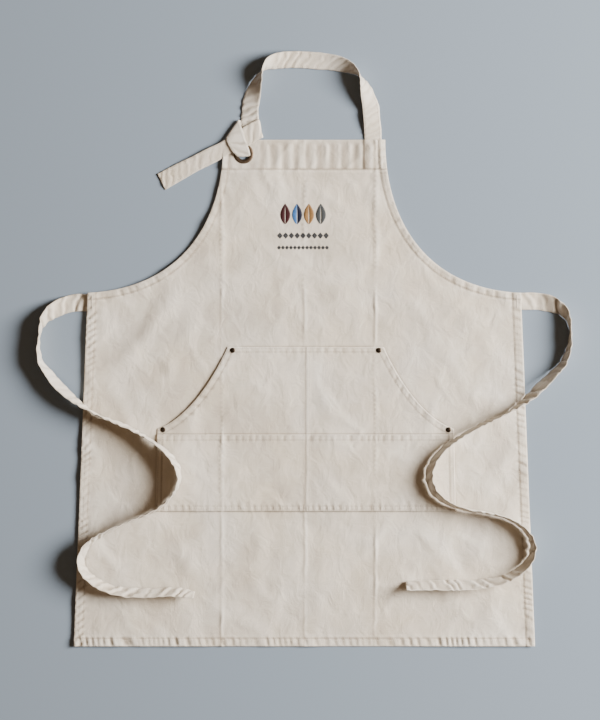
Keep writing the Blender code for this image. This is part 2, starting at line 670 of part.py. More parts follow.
def make_seams():
    wide = 0.0010
    top = POCKET_TOP_Y - 0.001
    low = LOWER_POCKET_TOP_Y + 0.001
    outline = box_outline(POCKET_X, (top + low) / 2, wide, top - low)
    add_flat("divider_seam_upper", outline, POCKET_Z + CLOTH + GAP, THREAD_HEIGHT, ECRU_THREAD)
    top = LOWER_POCKET_TOP_Y - 0.001
    low = POCKET_BOTTOM_Y + 0.001
    outline = box_outline(POCKET_X, (top + low) / 2, wide, top - low)
    add_flat("divider_seam_lower", outline, LOWER_POCKET_Z + CLOTH + GAP, THREAD_HEIGHT, ECRU_THREAD)
    bottom = PANEL_TOP_Z + GAP
    tack_y = BIB_TOP_Y - TOP_FACING_DEPTH / 2
    outline = box_outline(ANCHOR_X, tack_y, TAPE_WIDTH - 0.008, TOP_FACING_DEPTH - 0.010)
    add_flat("strap_box_stitch", outline, bottom, THREAD_HEIGHT, ECRU_THREAD)
    for side, word, root in ((-1, "left", TIE_LEFT_ROOT_ROUTE), (1, "right", TIE_RIGHT_ROOT_ROUTE)):
        x = side * (WAIST_HALF_WIDTH - 0.006)
        outline = box_outline(x, WAIST_Y + root[0][1] / 1000, 0.0025, TAPE_WIDTH - 0.006)
        add_flat(f"bar_tack_{word}", outline, bottom, THREAD_HEIGHT, ECRU_THREAD)


make_panel()
make_facings()
make_hems()
make_kangaroo_pocket()
make_lower_pocket()
make_eyelet()
make_rivets()
make_neck_strap()
make_knot_and_tail()
make_ties()
make_embroidery()
make_seams()
bpy.context.view_layer.update()
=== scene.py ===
"""Looks for the canvas bib apron: cloth, stitched seams, tape, embroidery and metal, in the CAD frame's metres."""

import json
import math

import bpy
import numpy as np
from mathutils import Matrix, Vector
from mathutils.geometry import delaunay_2d_cdt


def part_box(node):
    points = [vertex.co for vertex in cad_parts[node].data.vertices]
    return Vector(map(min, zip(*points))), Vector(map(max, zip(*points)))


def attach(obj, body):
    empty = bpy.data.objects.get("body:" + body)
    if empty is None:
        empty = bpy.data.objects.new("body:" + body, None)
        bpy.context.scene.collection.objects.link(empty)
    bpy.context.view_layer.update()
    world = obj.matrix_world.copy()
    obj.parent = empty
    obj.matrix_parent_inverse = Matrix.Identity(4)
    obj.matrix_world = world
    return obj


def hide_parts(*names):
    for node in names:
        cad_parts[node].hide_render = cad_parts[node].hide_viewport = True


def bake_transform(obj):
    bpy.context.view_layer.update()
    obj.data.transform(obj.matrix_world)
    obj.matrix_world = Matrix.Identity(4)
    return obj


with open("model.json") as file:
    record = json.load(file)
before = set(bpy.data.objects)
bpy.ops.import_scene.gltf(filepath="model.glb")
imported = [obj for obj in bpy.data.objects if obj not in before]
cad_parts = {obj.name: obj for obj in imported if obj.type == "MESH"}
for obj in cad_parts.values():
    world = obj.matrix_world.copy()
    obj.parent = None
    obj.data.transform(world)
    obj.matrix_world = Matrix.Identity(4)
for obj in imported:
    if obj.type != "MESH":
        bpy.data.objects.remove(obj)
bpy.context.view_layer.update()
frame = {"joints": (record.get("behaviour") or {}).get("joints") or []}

MM = 0.001

# ---------------------------------------------------------------------------
# Sizes, from the frame or the same as the CAD's
# ---------------------------------------------------------------------------
PANEL_LOW, PANEL_HIGH = (np.array(corner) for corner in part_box("body_panel"))
HEM_Y, BIB_TOP_Y = PANEL_LOW[1], PANEL_HIGH[1]
HEM_HALF_WIDTH = PANEL_HIGH[0]
PANEL_TOP_Z = PANEL_HIGH[2]
WAIST_Y = 0.084
WAIST_HALF_WIDTH = 0.3245
BIB_HALF_WIDTH = 0.121
TOP_FACING_DEPTH = BIB_TOP_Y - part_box("bib_top_facing")[0][1]
ARMHOLE_FACING_WIDTH = 0.010
SIDE_HEM_WIDTH = 0.0125
BOTTOM_HEM_WIDTH = 0.012

POCKET_LOW, POCKET_HIGH = (np.array(corner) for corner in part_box("kangaroo_pocket"))
LOWER_LOW, LOWER_HIGH = (np.array(corner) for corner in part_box("lower_pocket"))
POCKET_X = 0.002
POCKET_TOP_Y = POCKET_HIGH[1]
POCKET_BOTTOM_Y = POCKET_LOW[1]
POCKET_CORNER_Y = -0.120
POCKET_TOP_HALF = 0.117
POCKET_CORNER_HALF = 0.222
POCKET_BOTTOM_HALF = POCKET_HIGH[0] - POCKET_X
LOWER_TOP_Y = LOWER_HIGH[1]
POCKET_LIFT = POCKET_HIGH[2] - PANEL_TOP_Z      # from the panel's face to the pocket's face
LOWER_LIFT = LOWER_HIGH[2] - POCKET_HIGH[2]

CANVAS_THICKNESS = 0.7 * MM
TAPE_THICKNESS = 1.5 * MM
TAPE_WIDTH = 0.025
STITCH_PITCH = 3.2 * MM
STITCH_LENGTH = 2.5 * MM
THREAD_RADIUS = 0.26 * MM
SATIN_PITCH = 0.42 * MM         # between the threads of an embroidered shape
SEAM_STEP = 1.5 * MM            # between the points that a seam is worked out at
LAYER_GAP = 0.03 * MM           # behind a layer of cloth
TURNING_PAST = 1.5 * MM         # how far a turned layer runs past its seam
NEEDLE_GAP = 6 * MM             # between the rows of a twin-needle seam
EYELET_CUT = 9.5 * MM           # radius of the hole cut in the cloth
PINCHED_FOOT = 0.6 * MM         # outside a pocket's edge, where the panel is pressed down
# Rows of stitches, in millimetres from a pocket's edge
OPENING_ROWS, TOP_ROWS, SIDE_ROWS, LOWER_TOP_ROWS = (2.2, 9), (2, 7.5), (1.8, 7.5), (2, 8.5)

# Tape routes, the same points as the CAD's: x and y in millimetres from the middle of the bib's top edge
# or from the waist corner, lean in degrees, foot in millimetres.
LOOP_ROUTE = (
    (100.5, 38.5, 90, 3), (99.7, 48.5, 86, 3.3), (96, 62.5, 62, 4), (92, 76.5, 42, 4.8),
    (86.5, 89.5, 16, 5.6), (79, 100, -12, 6), (66, 108.5, -42, 6.6), (46, 115, -62, 7.4),
    (22, 118, -71, 8), (-6, 120, -74, 8), (-30, 119.5, -70, 8), (-48, 115.5, -50, 7.4),
    (-60.5, 106.5, -10, 6.4), (-68.5, 92.5, 26, 5.6), (-74.5, 76.5, 52, 4.8), (-79, 59.5, 76, 4),
    (-81, 48.5, 86, 3.4), (-81.5, 38.5, 90, 3),
)
TIE_LEFT_ROOT_ROUTE = (
    (0, -14.5, -90, 0), (-20.5, -15, -90, 0), (-41.5, -21.5, -72, 0.3), (-59.5, -34, -42, 0.5),
    (-68, -48, -14, 0.5), (-72.1, -64, 0, 0.5),
)
TIE_LEFT_LOOP_ROUTE = (
    (-72.1, -64, 0, 0.5), (-73.5, -83, -6, 0.5), (-71, -100, -11, 0.6), (-63.5, -119, -20, 1.2),
    (-51.5, -137, -26, 3.2), (-34.5, -153, -24, 5.6), (-15.5, -166.5, -15, 6.6), (15, -182.5, 0, 6.6),
)
TIE_LEFT_RUN_ROUTE = (
    (15, -182.5, 0, 6.6), (42.5, -195, -7, 6.6), (68.5, -206.5, -8, 6.6), (94.5, -221, -8, 6.6),
    (117.5, -240, -10, 6.6), (133.5, -265, -12, 6.6), (134.5, -287, -10, 6.6), (122.5, -308, -6, 6.6),
    (101.5, -324.5, -5, 6.6), (74.5, -336.5, -4, 6.6), (43.5, -349.5, -6, 6.6), (13.5, -364, -12, 6.6),
    (-6.5, -381, -18, 6.6), (-13.5, -402, -22, 6.6), (-5.5, -423, -26, 6.6), (13.5, -439, -28, 6.6),
    (37.5, -449, -28, 6.6), (65.5, -453.5, -31, 6.6), (94.5, -453.5, -31, 6.6), (125.5, -452, -26, 6.6),
    (159.5, -455, -18, 6.6),
)
TIE_RIGHT_ROOT_ROUTE = (
    (0, -12.5, 90, 0), (24.5, -12.5, 90, 0), (45.5, -17, 66, 0.3), (62.5, -27, 36, 0.5),
    (71, -41, 12, 0.5), (74, -59, 0, 0.5),
)
TIE_RIGHT_LOOP_ROUTE = (
    (74, -59, 0, 0.5), (72.5, -78, 10, 0.5), (67.5, -95, 16, 0.6), (58.5, -114, 22, 1.2),
    (45.5, -131, 27, 3.2), (29.5, -147, 27, 5.6), (12.5, -161, 20, 6.6), (-20, -179.7, 0, 6.6),
)
TIE_RIGHT_RUN_ROUTE = (
    (-20, -179.7, 0, 6.6), (-44.5, -192, 8, 6.6), (-69.5, -204.5, 9, 6.6), (-93.5, -219, 10, 6.6),
    (-114.5, -235, 14, 6.6), (-128.5, -254, 18, 6.6), (-134, -274, 20, 6.6), (-128.5, -294, 17, 6.6),
    (-112.5, -310, 11, 6.6), (-86.5, -322, 7, 6.6), (-54.5, -328, 5, 6.6), (-21.5, -336, 8, 6.6),
    (5.5, -352, 14, 6.6), (19.5, -374, 20, 6.6), (17.5, -397, 24, 6.6), (3.5, -416, 25, 6.6),
    (-18.5, -430, 26, 6.6), (-44.5, -438, 28, 6.6), (-76.5, -442, 32, 6.6), (-110.5, -442.5, 34, 6.6),
    (-144.5, -442.5, 34, 6.6), (-172.5, -443, 30, 6.6),
)
TIE_ROOTS = ((-1, "left", TIE_LEFT_ROOT_ROUTE[0][1]), (1, "right", TIE_RIGHT_ROOT_ROUTE[0][1]))


# ---------------------------------------------------------------------------
# Camera, light and floor
# ---------------------------------------------------------------------------
CAMERA_PLACE = (-0.0065, -0.0165, 5.0)
VIEW_HEIGHT = 1.08                      # how much of the floor the picture takes in
KEY_WAY, KEY_DISTANCE = Vector((0.845, 0.12, 0.54)).normalized(), 4.0
KEY_SIZE, KEY_WATTS, KEY_COLOUR = 2.1, 640, (1.0, 0.975, 0.935)
FILL_COLOUR, FILL_STRENGTH = (1.0, 0.70, 0.46, 1), 0.17
BACKDROP_COLOUR, FLOOR_COLOUR = (0.15, 0.18, 0.215, 1), (0.205, 0.252, 0.31)
FLOOR_REACH, FLOOR_DROP = 4.0, 0.2 * MM


def place_in_scene(name, data):
    made = bpy.data.objects.new(name, data)
    bpy.context.scene.collection.objects.link(made)
    return made


def make_stage():
    """Straight down on the apron, a soft light low on the right, and a plain pale floor."""
    camera = bpy.data.cameras.new("camera")
    camera.sensor_fit = "VERTICAL"
    camera.angle = 2 * math.atan(VIEW_HEIGHT / 2 / CAMERA_PLACE[2])
    placed = place_in_scene("camera", camera)
    placed.location = CAMERA_PLACE
    bpy.context.scene.camera = placed

    key = bpy.data.lights.new("key", "AREA")
    key.shape = "DISK"
    key.size, key.energy, key.color = KEY_SIZE, KEY_WATTS, KEY_COLOUR
    lamp = place_in_scene("key", key)
    lamp.location = KEY_WAY * KEY_DISTANCE
    lamp.rotation_euler = KEY_WAY.to_track_quat("Z", "Y").to_euler()

    world = bpy.data.worlds.new("studio")
    world.use_nodes = True
    nodes, links = world.node_tree.nodes, world.node_tree.links
    fill, backdrop = nodes["Background"], nodes.new("ShaderNodeBackground")
    fill.inputs["Color"].default_value = FILL_COLOUR
    fill.inputs["Strength"].default_value = FILL_STRENGTH
    # The warm fill lights the cloth. Past the floor's far edge the picture shows a grey-blue backdrop.
    backdrop.inputs["Color"].default_value = BACKDROP_COLOUR
    mix = nodes.new("ShaderNodeMixShader")
    shares = (nodes.new("ShaderNodeLightPath").outputs["Is Camera Ray"], fill.outputs[0], backdrop.outputs[0])
    for share, socket in zip(shares, mix.inputs):
        links.new(share, socket)
    links.new(mix.outputs[0], nodes["World Output"].inputs["Surface"])
    bpy.context.scene.world = world

    mesh = bpy.data.meshes.new("floor")
    corners = [(x * FLOOR_REACH, y * FLOOR_REACH, 0) for x, y in ((-1, -1), (1, -1), (1, 1), (-1, 1))]
    mesh.from_pydata(corners, [], [(0, 1, 2, 3)])
    floor = place_in_scene("floor", mesh)
    floor.location.z = -FLOOR_DROP
    mesh.materials.append(new_material("floor_paint", FLOOR_COLOUR, 0.85)[0])


# ---------------------------------------------------------------------------
# Materials
# ---------------------------------------------------------------------------
def new_material(name, colour, roughness, metallic=0.0, sheen=0.0):
    material = bpy.data.materials.new(name)
    material.use_nodes = True
    shader = material.node_tree.nodes["Principled BSDF"]
    for socket, value in (
        ("Base Color", (*colour, 1)), ("Roughness", roughness), ("Metallic", metallic),
        ("Sheen Weight", sheen), ("Sheen Roughness", 0.5),
    ):
        shader.inputs[socket].default_value = value
    return material, material.node_tree, shader


def add_node(tree, kind, *inputs, **settings):
    """A node, with its first inputs linked to sockets or set to values."""
    made = tree.nodes.new("ShaderNode" + kind)
    for name, value in settings.items():
        if name in made.inputs:
            made.inputs[name].default_value = value
        elif hasattr(made, name):
            setattr(made, name, value)
        else:
            made.inputs[name.replace("_", " ")].default_value = value
    for socket, value in zip(made.inputs, inputs):
        if value is None:
            continue
        if isinstance(value, bpy.types.NodeSocket):
            tree.links.new(value, socket)
        else:
            socket.default_value = value
    return made


def calc(tree, operation, *inputs):
    return add_node(tree, "Math", *inputs, operation=operation).outputs[0]


def blend_colour(tree, share, first, second, mode="MIX"):
    mix = tree.nodes.new("ShaderNodeMix")
    mix.data_type = "RGBA"
    mix.blend_type = mode
    for name, value in (("Factor_Float", share), ("A_Color", first), ("B_Color", second)):
        socket = next(s for s in mix.inputs if s.identifier == name)
        if isinstance(value, bpy.types.NodeSocket):
            tree.links.new(value, socket)
        else:
            socket.default_value = value
    return next(s for s in mix.outputs if s.identifier == "Result_Color")


def noise_node(tree, vector, scale, detail=2.0, roughness=0.5, distortion=0.0, **settings):
    made = add_node(
        tree, "TexNoise", vector, Scale=scale, Detail=detail, Roughness=roughness, Distortion=distortion, **settings
    )
    return made.outputs["Fac"]


def stretched(tree, vector, x, y):
    return add_node(tree, "Mapping", vector, Scale=(x, y, 1)).outputs[0]


def spread(tree, value, low, high, to_low=0.0, to_high=1.0):
    made = add_node(tree, "MapRange", value, From_Min=low, From_Max=high, To_Min=to_low, To_Max=to_high)
    return made.outputs[0]


def bumped(tree, height, strength, depth, under=None):
    """A bump's normal, over another bump's where one is given."""
    made = add_node(tree, "Bump", strength, depth)
    tree.links.new(height, made.inputs["Height"])
    if under:
        tree.links.new(under, made.inputs["Normal"])
    return made.outputs[0]


def paint(tree, shader, **sockets):
    for name, output in sockets.items():
        tree.links.new(output, shader.inputs[name.replace("_", " ")])


def tinted(colour, red, green=None, blue=None):
    """A colour and its alpha, with each channel scaled."""
    return (colour[0] * red, colour[1] * (green or red), colour[2] * (blue or red), 1)


def canvas_material(name, colour, pitch, creased=1.0):
    """Plain-woven natural cotton: threads over and under, slubs, seed flecks, mottling and small creases, with
    light and shade painted in from the mesh's shading attribute.
    """
    material, tree, shader = new_material(name, colour, 0.92, sheen=0.12)
    place = add_node(tree, "UVMap", uv_map="weave").outputs[0]
    split = add_node(tree, "SeparateXYZ", place)
    across, along = (
        calc(tree, "SINE", calc(tree, "MULTIPLY", split.outputs[k], math.pi / pitch)) for k in (0, 1)
    )
    over = calc(tree, "MULTIPLY_ADD", calc(tree, "MULTIPLY", across, along), 0.5, 0.5)
    threads = calc(
        tree, "ADD", calc(tree, "MULTIPLY", calc(tree, "ABSOLUTE", across), over),
        calc(tree, "MULTIPLY", calc(tree, "ABSOLUTE", along), calc(tree, "SUBTRACT", 1.0, over)),
    )
    slubs = calc(tree, "ADD", *(noise_node(tree, stretched(tree, place, *size), 1.0, 2.0, 0.6)
                                for size in ((900, 45), (45, 900))))
    mottle = noise_node(tree, place, 9.0, 4.0, 0.55, 0.4)
    fine_mottle = noise_node(tree, place, 55.0, 3.0, 0.6)
    fleck = spread(tree, noise_node(tree, place, 620.0, 1.0, 0.5), 0.735, 0.79)
    # The mesh's attribute holds light and shade painted into the cloth's colour: above 0 lighter, below 0 darker.
    painted_shading_and_wear = add_node(tree, "Attribute", attribute_name="painted_shading_and_wear").outputs["Fac"]

    shade, light = tinted(colour, 0.97, 0.93, 0.86), tinted(colour, 1.06, 1.085, 1.12)
    for share, over_it in (
        (spread(tree, mottle, 0.3, 0.7), light),
        (spread(tree, slubs, 0.75, 1.3, 0.0, 0.12), tinted(colour, 0.7, 0.66, 0.6)),
        (spread(tree, fine_mottle, 0.3, 0.75, 0.0, 0.10), light),
        (spread(tree, threads, 0.0, 0.5, 0.30, 0.0), (0.34, 0.27, 0.20, 1)),        # gaps between threads
        (calc(tree, "MULTIPLY", fleck, 0.55), (0.23, 0.15, 0.09, 1)),               # seed flecks
        (spread(tree, painted_shading_and_wear, 0.0, 1.0, 0.0, 0.45), (0.97, 0.95, 0.90, 1)),         # painted highlight on ridges, crests and fold edges
        (spread(tree, painted_shading_and_wear, 0.0, -1.0, 0.0, 0.80), (0.24, 0.175, 0.12, 1)),       # painted shade in hollows, seam grooves and shadow lines
    ):
        shade = blend_colour(tree, share, shade, over_it)

    creases = noise_node(
        tree, stretched(tree, place, 1.0, 0.8), 17.0, 2.0, 0.45, 0.6, noise_type="RIDGED_MULTIFRACTAL"
    )
    soft = noise_node(tree, stretched(tree, place, 44, 34), 1.0, 3.0, 0.55, 0.6)
    rumple = bumped(tree, calc(tree, "MULTIPLY_ADD", creases, 0.28, soft), 0.75 * creased, 3.2 * MM)
    weave = bumped(tree, calc(tree, "MULTIPLY_ADD", slubs, 0.5, threads), 0.7, 0.30 * MM, rumple)
    paint(tree, shader, Base_Color=shade, Roughness=spread(tree, slubs, 0.7, 1.3, 0.86, 0.97), Normal=weave)
    return material


def thread_material(name, colour, sheen=0.2, roughness=0.62):
    """Twisted sewing or embroidery thread."""
    material, tree, shader = new_material(name, colour, roughness, sheen=sheen)
    place = add_node(tree, "UVMap", uv_map="weave").outputs[0]
    twist = add_node(
        tree, "TexWave", stretched(tree, place, 1.0, 0.35), bands_direction="DIAGONAL", Scale=700.0
    )
    twist = twist.outputs["Fac"]
    tone = noise_node(tree, stretched(tree, place, 120, 120), 1.0, 2.0)
    dark, light = tinted(colour, 0.62), (*(min(1, c * 1.2 + 0.002) for c in colour), 1)
    shade = blend_colour(tree, spread(tree, tone, 0.3, 0.7), dark, light)
    shade = blend_colour(tree, spread(tree, twist, 0.0, 0.6, 0.35, 0.0), shade, dark)
    paint(tree, shader, Base_Color=shade, Normal=bumped(tree, twist, 0.4, 0.08 * MM))
    return material


def metal_material(name, dark, worn, roughness):
    """Antiqued brass: dark in the hollows, rubbed bright where the wear attribute says, with fine scratches."""
    material, tree, shader = new_material(name, dark, roughness, metallic=1.0)
    place = add_node(tree, "TexCoord").outputs["Object"]
    patches = noise_node(tree, place, 420.0, 4.0, 0.6)
    scratches = noise_node(tree, stretched(tree, place, 3500, 400), 1.0, 3.0, 0.7)
    wear = add_node(tree, "Attribute", attribute_name="painted_shading_and_wear").outputs["Fac"]
    amount = calc(tree, "MULTIPLY", wear, spread(tree, patches, 0.3, 0.6, 0.45, 1.0))
    shade = blend_colour(tree, spread(tree, patches, 0.35, 0.7), (*dark, 1), tinted(dark, 1.6))
    shade = blend_colour(tree, amount, shade, (*worn, 1))
    rough = spread(tree, scratches, 0.3, 0.7, roughness - 0.1, roughness + 0.15)
    paint(tree, shader, Base_Color=shade, Roughness=rough, Normal=bumped(tree, scratches, 0.35, 0.05 * MM))
    return material


# ---------------------------------------------------------------------------
# Mesh helpers
# ---------------------------------------------------------------------------
def add_mesh(name, vertices, faces, material, places, painted_shading_and_wear=None, sizes=None):
    """A smooth-shaded mesh from arrays. Places is each vertex's spot in the weave, in metres."""
    mesh = bpy.data.meshes.new(name)
    vertices = np.asarray(vertices, np.float32)
    if sizes is None:
        faces = np.asarray(faces, np.int32)
        sizes = np.full(len(faces), faces.shape[1], np.int32)
        loops = faces.ravel()
    else:
        loops = np.concatenate([np.asarray(f, np.int32).ravel() for f in faces])
        sizes = np.asarray(sizes, np.int32)
    mesh.vertices.add(len(vertices))
    mesh.vertices.foreach_set("co", vertices.ravel())
    mesh.loops.add(len(loops))
    mesh.loops.foreach_set("vertex_index", loops)
    mesh.polygons.add(len(sizes))
    mesh.polygons.foreach_set("loop_start", np.concatenate([[0], np.cumsum(sizes)[:-1]]).astype(np.int32))
    mesh.update(calc_edges=True)
    layer = mesh.uv_layers.new(name="weave")
    layer.uv.foreach_set("vector", np.asarray(places, np.float32)[loops].ravel())
    # This attribute carries the light and shade painted into the cloth's colour, and the rubbed wear on the metal.
    tone = mesh.attributes.new("painted_shading_and_wear", "FLOAT", "POINT")
    values = np.zeros(len(vertices), np.float32) if painted_shading_and_wear is None else np.asarray(painted_shading_and_wear, np.float32)
    tone.data.foreach_set("value", np.clip(values, -1, 1))
    mesh.shade_smooth()
    mesh.validate()
    mesh.materials.append(material)
    return place_in_scene(name, mesh)


def unit(vectors):
    return vectors / np.maximum(np.linalg.norm(vectors, axis=-1, keepdims=True), 1e-12)


def run_of(points):
    """How far along a line of points each one lies."""
    return np.concatenate([[0], np.cumsum(np.linalg.norm(np.diff(points, axis=0), axis=1))])


def smoothly(rows, count):
    """A Catmull-Rom curve through rows of numbers, with count steps between each two."""
    rows = np.asarray(rows, float)
    ends = np.vstack([rows[:1], rows, rows[-1:]])
    t = np.linspace(0, 1, count, endpoint=False)[:, None]
    found = [
        0.5 * (2 * b + (c - a) * t + (2 * a - 5 * b + 4 * c - d) * t**2 + (3 * b - a - 3 * c + d) * t**3)
        for a, b, c, d in zip(ends, ends[1:], ends[2:], ends[3:])
    ]
    return np.vstack(found + [rows[-1:]])


def curve_points(route, spacing):
    """A smooth curve through rows of numbers, cut into steps of about spacing in x and y."""
    dense = smoothly(route, 40)
    length = run_of(dense[:, :2])
    at = np.linspace(0, length[-1], max(2, int(round(length[-1] / spacing)) + 1))
    return np.stack([np.interp(at, length, column) for column in dense.T], 1)


def noise(x, y, size, seed):
    """Smooth random heights from -1 to 1, about size metres from hill to hill."""
    grid = np.random.RandomState(seed).uniform(-1, 1, (64, 64))
    turn = seed * 1.7
    gx = (x * math.cos(turn) - y * math.sin(turn)) / size + 1000
    gy = (x * math.sin(turn) + y * math.cos(turn)) / size + 1000
    ix, iy = np.floor(gx).astype(int), np.floor(gy).astype(int)
    fx, fy = gx - ix, gy - iy
    fx, fy = fx * fx * (3 - 2 * fx), fy * fy * (3 - 2 * fy)
    low = grid[ix % 64, iy % 64] * (1 - fx) + grid[(ix + 1) % 64, iy % 64] * fx
    high = grid[ix % 64, (iy + 1) % 64] * (1 - fx) + grid[(ix + 1) % 64, (iy + 1) % 64] * fx
    return low * (1 - fy) + high * fy


def creased(x, y, size, seed):
    """Narrow ridges between flat patches, from -0.5 to 1."""
    bent_x = x + 0.35 * size * noise(x, y, size * 1.3, seed + 40)
    bent_y = y + 0.35 * size * noise(x, y, size * 1.3, seed + 41)
    return 1 - 3.0 * np.abs(noise(bent_x, bent_y, size, seed)) ** 0.8


def measure(x, y, path):
    """Each point's distance to the left of a path, and how far along the path it lies."""
    path = np.asarray(path, float)
    best = np.full(np.shape(x), np.inf)
    side = np.zeros(np.shape(x))
    place = np.zeros(np.shape(x))
    passed = 0.0
    for (ax, ay), (bx, by) in zip(path, path[1:]):
        way = np.array([bx - ax, by - ay])
        length = math.hypot(*way)
        t = np.clip(((x - ax) * way[0] + (y - ay) * way[1]) / length**2, 0, 1)
        dx, dy = x - ax - t * way[0], y - ay - t * way[1]
        far = np.hypot(dx, dy)
        nearer = far < best
        best = np.where(nearer, far, best)
        side = np.where(nearer, np.sign(way[0] * dy - way[1] * dx), side)
        place = np.where(nearer, passed + t * length, place)
        passed += length
    return best * np.where(side == 0, 1, side), place


def bump(value, centre, width):
    return np.exp(-(((value - centre) / width) ** 2))


def step(value, low, high):
    t = np.clip((value - low) / (high - low), 0, 1)
    return t * t * (3 - 2 * t)


# ---------------------------------------------------------------------------
# Outlines, walked anticlockwise so that the cloth is on their left
# ---------------------------------------------------------------------------
def bezier(p0, p1, p2, p3, count):
    t = np.linspace(0, 1, count + 1)[:, None]
    p0, p1, p2, p3 = (np.array(p) for p in (p0, p1, p2, p3))
    return (1 - t) ** 3 * p0 + 3 * (1 - t) ** 2 * t * p1 + 3 * (1 - t) * t * t * p2 + t**3 * p3


def armhole(side, count=36):
    """From the bib's top corner down to the waist corner."""
    fall = BIB_TOP_Y - WAIST_Y
    edge = bezier(
        (BIB_HALF_WIDTH, BIB_TOP_Y),
        (BIB_HALF_WIDTH, BIB_TOP_Y - 0.56 * fall),
        (BIB_HALF_WIDTH + 0.33 * (WAIST_HALF_WIDTH - BIB_HALF_WIDTH), WAIST_Y + 0.006),
        (WAIST_HALF_WIDTH, WAIST_Y),
        count,
    )
    return edge * (side, 1)


def hand_opening(side, count=20):
    """The pocket's curved edge from its top corner down to its side corner."""
    wide = POCKET_CORNER_HALF - POCKET_TOP_HALF
    tall = POCKET_TOP_Y - POCKET_CORNER_Y
    edge = bezier(
        (POCKET_TOP_HALF, POCKET_TOP_Y),
        (POCKET_TOP_HALF + 0.17 * wide, POCKET_TOP_Y - 0.33 * tall),
        (POCKET_TOP_HALF + 0.52 * wide, POCKET_CORNER_Y + 0.15 * tall),
        (POCKET_CORNER_HALF, POCKET_CORNER_Y),
        count,
    )
    return edge * (side, 1) + (POCKET_X, 0)


def across_pocket(y, half):
    """The left and right ends of a level line across the pocket."""
    return (POCKET_X - half, y), (POCKET_X + half, y)


def edges_of(**edges):
    return {name: np.array(edge) for name, edge in edges.items()}


PANEL_EDGES = edges_of(
    bottom=[(-HEM_HALF_WIDTH, HEM_Y), (HEM_HALF_WIDTH, HEM_Y)],
    right=[(HEM_HALF_WIDTH, HEM_Y), (WAIST_HALF_WIDTH, WAIST_Y)],
    right_armhole=armhole(1)[::-1],
    top=[(BIB_HALF_WIDTH, BIB_TOP_Y), (-BIB_HALF_WIDTH, BIB_TOP_Y)],
    left_armhole=armhole(-1),
    left=[(-WAIST_HALF_WIDTH, WAIST_Y), (-HEM_HALF_WIDTH, HEM_Y)],
)
HEM_WIDTHS = {
    "bottom": BOTTOM_HEM_WIDTH, "right": SIDE_HEM_WIDTH, "left": SIDE_HEM_WIDTH, "top": TOP_FACING_DEPTH,
    "right_armhole": ARMHOLE_FACING_WIDTH, "left_armhole": ARMHOLE_FACING_WIDTH,
}
PANEL_OUTLINE = np.vstack([edge[:-1] for edge in PANEL_EDGES.values()])

FOOT_LEFT, FOOT_RIGHT = across_pocket(POCKET_BOTTOM_Y, POCKET_BOTTOM_HALF)
CORNER_LEFT, CORNER_RIGHT = across_pocket(POCKET_CORNER_Y, POCKET_CORNER_HALF)
TOP_LEFT, TOP_RIGHT = across_pocket(POCKET_TOP_Y, POCKET_TOP_HALF)
LOWER_SHARE = (LOWER_TOP_Y - POCKET_BOTTOM_Y) / (POCKET_CORNER_Y - POCKET_BOTTOM_Y)
LOWER_HALF = POCKET_BOTTOM_HALF + LOWER_SHARE * (POCKET_CORNER_HALF - POCKET_BOTTOM_HALF)
LOWER_LEFT, LOWER_RIGHT = across_pocket(LOWER_TOP_Y, LOWER_HALF)
POCKET_EDGES = edges_of(
    bottom=[FOOT_LEFT, FOOT_RIGHT],
    right=[FOOT_RIGHT, CORNER_RIGHT],
    right_opening=hand_opening(1)[::-1],
    top=[TOP_RIGHT, TOP_LEFT],
    left_opening=hand_opening(-1),
    left=[CORNER_LEFT, FOOT_LEFT],
)
LOWER_EDGES = edges_of(
    bottom=[FOOT_LEFT, FOOT_RIGHT],
    right=[FOOT_RIGHT, LOWER_RIGHT],
    top=[LOWER_RIGHT, LOWER_LEFT],
    left=[LOWER_LEFT, FOOT_LEFT],
)
POCKET_OUTLINE, LOWER_OUTLINE = (
    np.vstack([edge[:-1] for edge in edges.values()]) for edges in (POCKET_EDGES, LOWER_EDGES)
)
def middle_of(node):
    low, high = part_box(node)
    return np.array([(a + b) / 2 for a, b in zip(low, high)])


EYELET = middle_of("eyelet_flange")
RIVETS = {
    word: middle_of(f"rivet_cap_{word}") for word in ("top_left", "top_right", "side_left", "side_right")
}
ANCHOR = middle_of("strap_box_stitch")
EYELET_HOLE = (EYELET[0], EYELET[1], EYELET_CUT)


# ---------------------------------------------------------------------------
# How the cloth lies: heights over its flat place, in metres, and the light and shade painted into its colour, from
# -1 to 1
# ---------------------------------------------------------------------------
def pucker(off, place, width, wave, slant, seed):
    """Ripples across a sewn hem, roped by the seam's pull. They fade past the stitching."""
    within = step(off, 0.3 * MM, 2.5 * MM) * (1 - step(off, width - 1.5 * MM, width + 5 * MM))
    phase = (place + slant * off + 1.2 * wave * noise(place, 0, 3.1 * wave, seed)) / wave
    strength = 0.35 + 0.75 * step(noise(place, 5, 2.3 * wave, seed + 1), -0.6, 0.7)
    return within * strength * (np.sin(2 * math.pi * phase) + 0.45 * np.sin(4 * math.pi * phase + 1.0))


def ridges(off, *parts):
    """Ridges along a line, or grooves where negative: (height, distance from the line, width), in millimetres."""
    return sum(tall * bump(off, place * MM, width * MM) for tall, place, width in parts)


